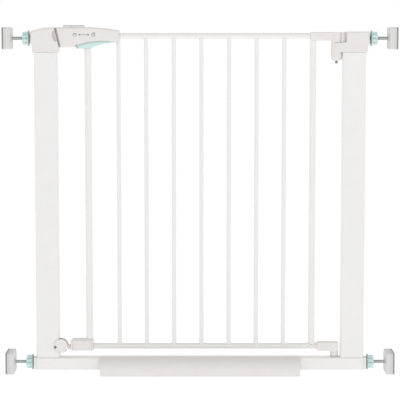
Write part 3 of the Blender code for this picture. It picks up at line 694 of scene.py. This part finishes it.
def build_bottom_catch():
    s, screw, post, bolt = spans("bottom_catch", "bottom_catch_screw", "left_post", "bottom_bolt")
    radius = (s.z1 - s.z0) / 2
    core = radius - 1.0
    centre = (s.x0 + radius, s.z())
    catch = prism("catch_body", circle(core, centre, 96), s.y0, -4.0, "XZ", (1.1, 0.8), segments=5)
    cheek = circle(10.4, (centre[0], centre[1] - 2.8), 72)
    unite(catch, prism("rear_cheek", cheek, -6.0, s.y1, "XZ", (0.0, 1.4), segments=5))
    mouth = rounded_box(bolt.x0 - 2.6, s.x1 + 20, bolt.z0 - 1.2, bolt.z1 + 1.2, 1.5)

    def openings():
        return (block("post_slot", (s.x0 - 10, post.x1 + GAP), (post.y0 - GAP, post.y1 + GAP),
                      (s.z0 - BEYOND, s.z1 + BEYOND)), prism("notch", mouth, -30, 30, "XZ"))

    hole = rod("screw_hole", "Y", 3.0, s.y0 - BEYOND, post.y0 + 1, (screw.x(), screw.z()), sides=32)
    carve(catch, *openings(), hole)
    piece(catch, "frame", "frame_plastic", "bottom_catch")
    # painted shadow: a dark band round the catch's rim
    front, back = -10.4, -5.0
    band = [(core, front), (radius - 0.3, front), (radius, front + 0.4), (radius, back - 0.4),
            (radius - 0.3, back), (core, back)]
    rim_shadow = carve(lathe("catch_rim_shadow_band", band, "XZ", centre, 96), *openings())
    piece(rim_shadow, "frame", "frame_plastic", material="shadow_brown")
    piece(screw_solid("catch_screw", screw, screw.y0, screw.y1, -1, 2.6, 1.9), "frame", "zinc_steel",
          "bottom_catch_screw", material="dark_plastic")


def screw_solid(name, s, head_face, tip, side, head_radius, shank_radius):
    """A cross-head screw along Y; side says which way its head faces."""
    x, z = s.x(), s.z()
    head_foot = head_face - side * 2.0
    profile = [(0.0, head_face), (head_radius - 0.5, head_face), (head_radius, head_face - side * 0.5),
               (head_radius, head_foot), (shank_radius, head_foot), (shank_radius, tip + side * 1.0),
               (shank_radius * 0.5, tip), (0.0, tip)]
    screw = lathe(name, profile, "XZ", (x, z), 40)
    depth = sorted((head_face + side * 0.5, head_face - side * 1.1))
    arm, narrow = head_radius * 0.62, 0.32
    carve(screw, block("cross_a", (x - arm, x + arm), depth, (z - narrow, z + narrow)),
          block("cross_b", (x - narrow, x + narrow), depth, (z - arm, z + arm)))
    return screw


# ---- spindles, nuts and wall cups

def threaded_rod(name, s, pitch=1.25, depth=0.65, sides=28, steps=5):
    """A rod along X whose surface follows one helical thread, with chamfered ends."""
    radius, length, chamfer = (s.z1 - s.z0) / 2, s.x1 - s.x0, 0.6
    count = int(length / pitch * steps)
    edit = bmesh.new()
    rings = []
    for i in range(count + 1):
        x = s.x0 + length * i / count
        end = min(1.0, min(i, count - i) / steps)
        verts = []
        for k in range(sides):
            angle = 2 * math.pi * k / sides
            phase = (x / pitch - k / sides) % 1.0
            crest = 1 - abs(2 * phase - 1)
            size = radius - depth * (1 - min(1.0, crest * 1.25)) - chamfer * (1 - end)
            verts.append(edit.verts.new(at(size * math.cos(angle), s.z() + size * math.sin(angle), x, "YZ")))
        rings.append(verts)
    return loft(name, edit, rings)


def lobed(radius, depth, lobes, centre, steps=12):
    """A grip outline with rounded ribs between shallow scallops."""
    def outline(inset=0.0):
        points = []
        for i in range(lobes * steps):
            angle = 2 * math.pi * i / (lobes * steps)
            size = radius - inset - depth * ((1 + math.cos(angle * lobes)) / 2) ** 3
            points.append((centre[0] + size * math.cos(angle), centre[1] + size * math.sin(angle)))
        return points

    return outline


def build_nut(corner, side):
    s, body = Span("adjusting_nut_" + corner), "nut_" + corner
    centre, flange_radius = (0.0, s.z()), (s.z1 - s.z0) / 2
    _, length, span = outwards(s, side)
    base = rod(f"nut_washer_{corner}", "X", flange_radius, *span(0.0, 1.1), centre, rim=0.3, sides=72)
    carve(base, x_hole(s, SPINDLE_HOLE, *span(-3, 6)))
    piece(base, body, "teal_plastic", material="washer_and_shade_grey")
    grip = prism(f"tension_nut_{corner}", lobed(14.6, 4.6, 8, centre), *span(1.2, length), "YZ",
                 end_rims(side, 0.9, 0.2))
    skirt = rod("skirt", "X", flange_radius - 0.3, *span(1.2, 2.8), centre, rim=0.5, sides=72)
    collar = rod("collar", "X", 8.2, *span(length - 1.0, length + 1.4), centre, rim=0.5)
    unite(grip, skirt, collar)
    carve(grip, x_hole(s, 4.3, *span(-3, length + 8)))
    piece(grip, body, "teal_plastic", "adjusting_nut_" + corner)


def build_cup(corner, side):
    cup, pad, spindle = spans("wall_cup_" + corner, "wall_pad_" + corner, "spindle_" + corner)
    body, centre = "spindle_" + corner, (0.0, cup.z())
    inner, depth, span = outwards(cup, side)

    def outline(inset, radius):
        return rounded_box(cup.y0 + inset, cup.y1 - inset, cup.z0 + inset, cup.z1 - inset, radius)

    shell = prism(f"cup_shell_{corner}", outline(0.0, 4.0), *span(0.0, depth), "YZ",
                  end_rims(side, 0.5, 1.6), segments=5)
    hub = [(SPINDLE_HOLE, -1.0), (6.8, -1.0), (7.4, -0.5), (8.0, 0.6), (8.0, 3.0), (SPINDLE_HOLE, 3.0)]
    unite(shell, lathe("hub", [(radius, inner + side * w) for radius, w in hub], "YZ", centre, 48))
    recess = prism("recess", outline(4.5, 2.5), *span(-1.0, 0.6), "YZ")
    carve(recess, rod("island", "X", 10.5, *span(-3.0, 4.0), centre))
    joint_line = carve(prism("joint", outline(-2.0, 4.0), *span(depth - 4.2, depth - 3.6), "YZ"),
                       prism("core", outline(0.5, 3.5), *span(depth - 6.0, depth), "YZ"))
    rod_end = abs((spindle.x0 if side < 0 else spindle.x1) - inner)
    carve(shell, recess, joint_line, x_hole(cup, SPINDLE_HOLE, *span(-8.0, rod_end)))
    piece(shell, body, "cup_plastic", "wall_cup_" + corner)

    rubber = prism(f"rubber_pad_{corner}", outline(0.0, 4.0), pad.x0, pad.x1, "YZ", end_rims(side, 0.7, 0.3),
                   segments=3)
    face = pad.x0 if side < 0 else pad.x1
    groove = sorted((face + side * 1.0, face - side * 0.7))
    for inset in (6.0, 12.0, 18.0):
        moat = prism("moat", outline(inset, 2.0), *groove, "YZ")
        island = prism("island", outline(inset + 1.6, 1.0), groove[0] - 1, groove[1] + 1, "YZ")
        carve(rubber, carve(moat, island))
    piece(rubber, body, "pad_rubber", "wall_pad_" + corner)
    piece(threaded_rod(f"threaded_rod_{corner}", spindle), body, "zinc_steel", body, sharp=70)


def build_corners():
    for level in ("top", "bottom"):
        for side_name, side in SIDES.items():
            corner = f"{level}_{side_name}"
            build_nut(corner, side)
            build_cup(corner, side)


# ---- door

def round_tube(name, axis, s, low, high, wall=TUBE_WALL):
    """A tube along X or Z, as thick as a node's box."""
    if axis == "X":
        plane, centre, radius = "YZ", (0.0, s.z()), (s.z1 - s.z0) / 2
    else:
        plane, centre, radius = "XY", (s.x(), 0.0), (s.x1 - s.x0) / 2
    return pipe(name, circle(radius, centre, 48), circle(radius - wall, centre, 48), low, high, plane)


def build_door_tubes():
    top, bottom, hinge, latch = spans("top_rail", "bottom_rail", "hinge_stile", "latch_stile")
    rail_radius = (top.z1 - top.z0) / 2
    foot, head = bottom.z() + 4.6, top.z() - 4.6
    # the bottom rail takes the darker copy of the coat, as painted shade
    for name, s, look in (("top_rail", top, "powder_coat"), ("bottom_rail", bottom, "powder_coat_shaded")):
        piece(round_tube(name + "_tube", "X", s, s.x0, s.x1), "door", "powder_coat", name, material=look)
    welds = []
    for i in range(1, 8):
        s = Span(f"bar_{i}")
        piece(round_tube(f"upright_{i}", "Z", s, foot, head, 1.0), "door", "powder_coat", f"bar_{i}")
        reach = (s.x1 - s.x0) / 2 + 0.15
        welds.append(bead("weld", saddle_path(s.x(), reach, rail_radius + 0.1, bottom.z(), 1), 0.95))
        # the first bar meets the top rail inside the handle
        if i > 1:
            welds.append(bead("weld", saddle_path(s.x(), reach, rail_radius + 0.1, top.z(), -1), 0.95))
    piece(round_tube("hinge_side_tube", "Z", hinge, foot, hinge.z1), "door", "powder_coat", "hinge_stile")
    reach = (hinge.x1 - hinge.x0) / 2 + 0.1
    welds.append(bead("weld", saddle_path(hinge.x(), reach, rail_radius + 0.4, bottom.z(), 1), 1.7))
    piece(round_tube("latch_side_tube", "Z", latch, latch.z0, latch.z1), "door", "powder_coat",
          "latch_stile")
    piece(joined("door_weld_beads", welds), "door", "powder_coat")


def build_top_hinge_arm():
    s, pin, rail = spans("top_hinge_arm", "hinge_pin", "top_rail")
    centre, foot = (pin.x(), 0.0), Span("hinge_stile").z1 + GAP
    outline = rounded_box(s.x0, pin.x(), foot, s.z1 - 0.2, 2.4)
    sleeve = prism("hinge_arm", outline, -9.0, 9.0, "XZ", (3.0, 3.0), segments=5)
    outer, bore, bore_top = 12.0, 4.0, pin.z1 + 0.6
    knuckle = [(0.0, s.z1), (10.8, s.z1), (11.6, s.z1 - 0.3), (outer, s.z1 - 1.1), (outer, s.z0 + 1.3),
               (10.7, s.z0), (bore, s.z0), (bore, bore_top), (0.0, bore_top)]
    unite(sleeve, lathe("knuckle", knuckle, "XY", centre, 72))
    carve(sleeve, x_hole(rail, RAIL_SOCKET, s.x0 - BEYOND, rail.x1 + 1),
          rod("pin_hole", "Z", bore, s.z0 - BEYOND, bore_top, centre))
    piece(sleeve, "door", "frame_plastic", "top_hinge_arm")


def build_bottom_hinge():
    s, pin, rail = spans("bottom_hinge_elbow", "bottom_hinge_pin", "bottom_rail")
    centre, outer = (pin.x(), 0.0), 8.6
    outline = rounded_box(s.x0, pin.x() + 8.4, s.z0 + 11.8, s.z1, 3.0)
    elbow = prism("pivot_elbow", outline, s.y0, s.y1, "XZ", (2.6, 2.6), segments=5)
    leg = [(0.0, s.z1 - 0.2), (7.0, s.z1 - 0.2), (outer, s.z1 - 1.8), (outer, s.z0 + 0.8), (7.8, s.z0),
           (0.0, s.z0)]
    unite(elbow, lathe("leg", leg, "XY", centre))
    carve(elbow, x_hole(rail, RAIL_SOCKET, s.x0 - BEYOND, rail.x1 + 1),
          rod("pin_hole", "Z", 3.8, s.z0 - BEYOND, pin.z1 + 0.4, centre))
    piece(elbow, "door", "frame_plastic", "bottom_hinge_elbow")
    pivot_pin = rod("pivot_pin", "Z", 3.5, pin.z0, pin.z1, centre, rim=0.8)
    piece(pivot_pin, "door", "zinc_steel", "bottom_hinge_pin")


def build_bottom_latch():
    s, bolt, stile, rail = spans("bottom_latch_housing", "bottom_bolt", "latch_stile", "bottom_rail")
    middle = (stile.x(), 0.0)
    outline = rounded(from_corner(s, [(0.0, 0.0, 5.0), (50.8, 0.0, 1.6), (50.8, 25.2, 1.8), (5.0, 25.2, 6.0),
                                      (0.0, 19.8, 4.0)]), 6)
    housing = prism("bottom_latch_body", outline, s.y0, s.y1, "XZ", (2.0, 2.0), segments=5)
    panel = rounded_box(s.x0 + 7.0, s.x1 - 6.0, s.z0 + 4.0, s.z1 - 5.0, 2.5)
    carve(housing, block("channel", (s.x0 - BEYOND, s.x0 + 43.0), (-5.6, 5.6), (s.z0 + 2.0, s.z0 + 12.8)),
          rod("stile_socket", "Z", 7.8, stile.z0 - GAP, s.z1 + BEYOND, middle),
          rod("pull_rod_hole", "Z", 2.4, s.z0 + 12.6, stile.z0, middle),
          x_hole(rail, RAIL_SOCKET, rail.x0 - 1.2, s.x1 + BEYOND),
          prism("panel", panel, s.y0 - BEYOND, s.y0 + 0.5, "XZ"),
          prism("panel_back", panel, s.y1 - 0.5, s.y1 + BEYOND, "XZ"))
    seams = [((s.x0 + 4.6, s.x0 + 5.4), (s.z0 - 1, s.z1 + 1)),
             ((s.x1 - 4.4, s.x1 - 3.6), (s.z0 - 1, s.z1 + 1)),
             ((s.x0 + 5.0, s.x1 - 4.0), (s.z1 - 2.6, s.z1 - 1.8))]
    for x, z in seams:
        for face in (s.y0, s.y1):
            carve(housing, block("seam", x, sorted((face * 1.2, face * 0.92)), z))
    piece(housing, "door", "frame_plastic", "bottom_latch_housing")
    outline = rounded([(bolt.x1, bolt.z0, 0.3), (bolt.x0, bolt.z0, 2.0), (bolt.x0, bolt.z1, 2.0),
                       (bolt.x1, bolt.z1, 0.3)])
    nose = prism("bottom_bolt_nose", outline, bolt.y0, bolt.y1, "XZ", (1.0, 1.0))
    piece(nose, "bottom_bolt", "frame_plastic", "bottom_bolt")


# ---- handle

def housing_outline(s):
    """The side view of the handle housing, with the slanted latch end on the left."""
    return rounded(from_corner(s, [
        (SLANT, 0.0, 1.5), (0.0, 43.3, 1.4), (74.2, 43.3, 60.0), (107.2, 41.1, 80.0), (136.8, 36.7, 3.5),
        (136.8, 11.4, 1.8), (116.2, 12.9, 50.0), (90.2, 13.5, 40.0), (66.2, 10.4, 50.0), (43.4, 4.4, 6.0),
        (38.8, 0.0, 2.5)]), 5)


def housing_hollow(s):
    """The room inside the housing, open underneath where the lever and the stile come in."""
    return plain(from_corner(s, [(12.2, 2.5), (3.4, 40.8), (72.2, 40.8), (102.2, 38.6), (134.2, 34.6),
                                 (134.2, -11.0), (40.6, -11.0), (40.6, 2.5)]))


def bolt_opening(s, reach):
    """The cutter for the opening in the housing's latch end that the top bolt comes out of."""
    bolt = Span("latch_bolt")
    return block("bolt_mouth", (s.x0 - 8, s.x0 + reach), (-8.6, 8.6), (bolt.z0 - 0.8, bolt.z1 + 0.8))


def add_screw_holes(shell, side):
    """The bosses that the two screws hold together, with the screw heads sunk in the rear shell."""
    for index in (1, 2):
        screw = Span(f"handle_screw_{index}")
        place, depth = (screw.x(), screw.z()), 11.0 if side < 0 else 20.0
        unite(shell, rod("boss", "Y", 3.8, *sorted((side * 0.15, side * 13.4)), place, sides=32))
        carve(shell, rod("pilot", "Y", 1.8, *sorted((side * -2.0, side * depth)), place, sides=24))
        if side > 0:
            carve(shell, rod("head_well", "Y", 3.3, 13.0, depth, place, sides=32))


def build_handle():
    rail, first_bar = Span("top_rail"), Span("bar_1")
    for name, side in (("handle_front_shell", -1), ("handle_rear_shell", 1)):
        s = Span(name)
        shell = prism(name.replace("_shell", "_moulding"), housing_outline(s), s.y0, s.y1, "XZ",
                      end_rims(side, 4.6, 0.25), segments=7)
        cavity = sorted((side * -5.0, side * 13.0))
        carve(shell, prism("hollow", housing_hollow(s), *cavity, "XZ"), bolt_opening(s, 16),
              block("button_slot", (s.x0 + 25.4, s.x0 + 55.2), (-4.8, 4.8), (s.z1 - 6, s.z1 + 6)),
              x_hole(rail, RAIL_SOCKET, s.x1 - 6, s.x1 + BEYOND),
              rod("bar_notch", "Z", 5.05, s.z0, rail.z() - 3, (first_bar.x(), 0.0)))
        if side < 0:
            groove = from_corner(s, [(14.0, -2.0), (14.6, -2.0), (14.6, 45.3), (14.0, 45.3)])
            carve(shell, prism("seam", plain(groove), s.y0 - 2, s.y0 + 0.45, "XZ"))
        add_screw_holes(shell, side)
        piece(shell, "door", "frame_plastic", name)
    for index in (1, 2):
        s = Span(f"handle_screw_{index}")
        screw = screw_solid(f"housing_screw_{index}", s, s.y1, s.y0, 1, 2.9, 1.5)
        piece(screw, "door", "zinc_steel", f"handle_screw_{index}")
    build_pictograms(Span("handle_front_shell"))


def build_latch_strip():
    """The dark lip that lines the slanted latch end of the housing, open where the bolt comes out; its
    colour is painted shadow for the gap between the cap and the handle.
    """
    s = Span("handle_front_shell")
    slope = SLANT / (s.z1 - s.z0)
    low, high = s.z0 + 0.4, s.z1 - 0.8
    foot, head = s.x0 + slope * (s.z1 - low), s.x0 + slope * (s.z1 - high)
    lip = rounded([(foot - 2.5, low, 0.5), (foot + 0.3, low, 0.3), (head + 0.3, high, 0.3),
                   (head - 2.8, high, 0.5)])
    strip = prism("latch_end_shadow_lip", lip, -12.6, 12.6, "XZ", (0.6, 0.6), segments=3)
    carve(strip, bolt_opening(s, 20))
    piece(strip, "door", "frame_plastic", material="lip_painted_shadow")


def stroke(points, width, low, high, closed=False):
    """A flat line of constant width on the handle's face, drawn in the XZ plane."""
    parts = []
    pairs = list(zip(points, points[1:])) + ([(points[-1], points[0])] if closed else [])
    for (x0, z0), (x1, z1) in pairs:
        start, end = Vector((x0, z0)), Vector((x1, z1))
        across = (end - start).normalized().orthogonal() * width / 2
        along = (end - start).normalized() * width / 2
        corners = [start - along - across, end + along - across, end + along + across,
                   start - along + across]
        parts.append(prism("stroke", plain([tuple(c) for c in corners]), low, high, "XZ"))
    return unite(*parts) if len(parts) > 1 else parts[0]


def build_pictograms(s):
    """Generic marks printed on the handle: a closed padlock, an arrow and an open padlock."""
    width, size = 1.0, 4.6
    middle_x, middle_z = s.x0 + 60.7, s.z0 + 27.0
    half, foot, top = size * 0.75, middle_z - size * 0.6, middle_z + size * 0.35
    marks = []

    def mark(points, closed=False):
        marks.append(stroke(points, width, s.y0 - 0.08, s.y0 + 0.3, closed))

    for offset, lifted in ((-20.0, 0.0), (20.0, 1.6)):
        x = middle_x + offset
        mark([(x - half, foot), (x + half, foot), (x + half, top), (x - half, top)], True)
        shackle = arc((x + lifted, top + lifted * 0.5), size * 0.48, 180, 0, 6)
        mark([(shackle[0][0], top)] + shackle + [(shackle[-1][0], top + lifted)])
    mark([(middle_x - 11.0, middle_z), (middle_x + 11.0, middle_z)])
    for side in (-1, 1):
        mark([(middle_x + side * 8.0, middle_z + 2.2), (middle_x + side * 11.0, middle_z),
              (middle_x + side * 8.0, middle_z - 2.2)])
    piece(joined("handle_pictograms", marks), "door", "button_grey", material="dark_plastic")


def stile_slot(s):
    """The cutter for the lever's slot that the latch stile stands in."""
    x = Span("latch_stile").x()
    return block("stile_slot", (x - 10.5, x + 10.5), (-8.3, 8.3), (s.z0 - 10, s.z1 + 10))


def build_lever():
    s, pin = Span("squeeze_lever"), Span("lever_pin")
    pivot = (pin.x(), pin.z())
    outline = rounded(from_corner(s, [
        (84.0, 21.0, 2.6), (56.6, 22.7, 30.0), (36.6, 21.6, 30.0), (12.6, 15.6, 30.0), (0.0, 9.8, 2.0),
        (1.2, 1.6, 4.5), (16.6, -0.1, 14.0), (28.6, 1.8, 26.0), (54.6, 9.6, 30.0), (68.6, 11.9, 30.0),
        (81.1, 13.8, 4.0), (84.2, 16.2, 1.6)]), 5)
    lever = prism("squeeze_grip", outline, s.y0, s.y1, "XZ", (2.4, 2.4), segments=5)
    carve(lever, stile_slot(s), rod("pin_hole", "Y", 1.9, s.y0 - BEYOND, s.y1 + BEYOND, pivot, sides=24))
    carve(lever, *[rod("ridge", "Y", 0.8, -8.0, 8.0, (s.x0 + 35.6 + 4.0 * k, s.z0 + 3.7 + 1.2 * k), sides=12)
                   for k in range(5)])
    piece(lever, "squeeze_lever", "teal_plastic", "squeeze_lever")
    # painted shade: a grey cap on the lever's end, where the housing shades it
    tip = rounded_box(s.x0 - 0.1, s.x0 + 6.0, s.z0 + 0.9, s.z0 + 7.0, 1.4)
    end_shade = prism("lever_end_painted_shade", tip, s.y0 + 0.05, s.y1 - 0.05, "XZ", (1.0, 1.0))
    piece(end_shade, "squeeze_lever", "teal_plastic", material="washer_and_shade_grey")
    # painted shade: a darker teal band along the lever's top, under the housing's edge
    band = from_corner(s, [
        (71.6, 17.0), (58.6, 17.6), (46.6, 17.6), (34.6, 16.4), (22.6, 14.6), (10.6, 11.7), (2.6, 9.4),
        (2.6, 5.2), (10.6, 7.0), (22.6, 9.9), (34.6, 11.8), (46.6, 13.0), (58.6, 13.5), (71.6, 13.4)])
    top_shade = prism("lever_top_painted_shade", plain(band), s.y0 - 0.12, s.y1 + 0.12, "XZ", (0.12, 0.12), segments=2)
    piece(carve(top_shade, stile_slot(s)), "squeeze_lever", "teal_plastic", material="teal_painted_shade")
    pivot_pin = rod("lever_pivot_pin", "Y", 1.6, pin.y0, pin.y1, pivot, rim=0.3, sides=32)
    piece(pivot_pin, "door", "zinc_steel", "lever_pin")


def build_latch_bolt():
    s = Span("latch_bolt")
    nose = rounded(from_corner(s, [(20.2, 0.0, 0.3), (2.8, 0.0, 1.0), (0.0, 2.2, 1.0), (0.0, 17.6, 1.0),
                                   (1.6, 19.2, 1.0), (20.2, 19.2, 0.3)]))
    bolt = prism("latch_bolt_nose", nose, s.y0, s.y1, "XZ", (1.2, 1.2))
    unite(bolt, block("tail", (s.x0 + 19, s.x1), (-6.0, 6.0), (s.z0 + 6.8, s.z0 + 16.6), 0.4))
    piece(bolt, "latch_bolt", "frame_plastic", "latch_bolt")


def build_lock_button():
    s = Span("lock_button")
    foot, seat = s.z1 - 4.0, s.z1 - 1.1
    base = prism("lock_button_base", rounded_box(s.x0, s.x1, s.y0, s.y1, 3.5), foot, seat, "XY", (0.2, 0.3))
    unite(base, block("stem", (s.x0 + 13.0, s.x0 + 31.0), (-4.2, 4.2), (s.z0, foot + 1.0)))
    piece(base, "lock_button", "button_grey", "lock_button", material="powder_coat")
    plate = rounded_box(s.x0 + 1.4, s.x1 - 1.2, s.y0 + 0.8, s.y1 - 0.8, 3.0)
    top = prism("lock_button_top", plate, seat, s.z1, "XY", (0.1, 0.5), segments=5)
    carve(top, *[rod("rib", "Y", 0.7, s.y0 + 3, s.y1 - 3, (s.x0 + 14 + 2.6 * k, s.z1 + 0.25), sides=12)
                 for k in range(8)])
    piece(top, "lock_button", "button_grey")


def repaint_inner_nodes():
    """CAD nodes whose shape is already right and which are mostly hidden get the detailed materials."""
    slots = {row["node"]: row["material_slot"] for row in frame["record"]["subparts"]}
    for name, obj in frame["nodes"].items():
        if obj.hide_render:
            continue
        obj.data.materials.clear()
        obj.data.materials.append(LOOKS[slots[name]])


# ---- stage, light and camera

def build_stage():
    edit = bmesh.new()
    bmesh.ops.create_grid(edit, x_segments=1, y_segments=1, size=40.0)
    floor = as_object("studio_floor", edit)
    floor.location.z = CAD_BOX[0].z - 0.0005
    material = bpy.data.materials.new("pale_floor")
    material.use_nodes = True
    preset(material.node_tree.nodes["Principled BSDF"], {
        "Base Color": (0.12, 0.12, 0.12, 1.0), "Roughness": 1.0, "Specular IOR Level": 0.0,
        "Emission Color": (1.0, 1.0, 1.0, 1.0), "Emission Strength": 0.93})
    floor.data.materials.append(material)


def build_world():
    """An even white studio: full light round the horizon, softer from above."""
    world = bpy.data.worlds.new("studio")
    SCENE.world = world
    world.use_nodes = True
    tree = world.node_tree
    background = tree.nodes["Background"]
    direction = node(tree, "ShaderNodeTexCoord").outputs["Generated"]
    height = node(tree, "ShaderNodeSeparateXYZ", {"Vector": direction}).outputs["Z"]
    sky = ramp(tree, height, [(0.0, 1.0), (0.12, 1.0), (0.75, 0.62)])
    path = node(tree, "ShaderNodeLightPath").outputs["Is Camera Ray"]
    seen = node(tree, "ShaderNodeMix", {"Factor": path, MIX_A: sky, MIX_B: (1.0, 1.0, 1.0, 1.0)},
                data_type="RGBA")
    tree.links.new(seen.outputs[MIX_RESULT], background.inputs["Color"])
    background.inputs["Strength"].default_value = 1.0


def area_light(name, location, target, size, watts):
    data = bpy.data.lights.new(name, "AREA")
    data.shape = "RECTANGLE"
    data.size, data.size_y = size
    data.energy = watts
    light = bpy.data.objects.new(name, data)
    light.location = location
    light.rotation_euler = (Vector(target) - Vector(location)).to_track_quat("-Z", "Y").to_euler()
    SCENE.collection.objects.link(light)


def build_camera():
    data = bpy.data.cameras.new("camera")
    data.sensor_width = 36.0
    data.lens = 145.8
    data.clip_end = 100.0
    camera = bpy.data.objects.new("camera", data)
    camera.location = (0.0, GATE_ORIGIN.y - 3.54, GATE_ORIGIN.z + 0.731)
    camera.rotation_euler = (math.radians(90 - 5.71), 0.0, 0.0)
    SCENE.collection.objects.link(camera)
    SCENE.camera = camera


SCENE.view_settings.view_transform = "Standard"
LOOKS = make_materials()
build_camera()
build_stage()
build_world()
area_light("front_key", (0.9, -2.6, 1.7), (0, 0, 0.4), (1.8, 1.8), 6)
build_posts()
build_threshold()
build_threshold_plugs()
build_ramp()
build_latch_post_cap()
build_hinge_post_cap()
build_bottom_catch()
build_corners()
build_door_tubes()
build_top_hinge_arm()
build_bottom_hinge()
build_bottom_latch()
build_handle()
build_latch_strip()
build_lever()
build_latch_bolt()
build_lock_button()
repaint_inner_nodes()
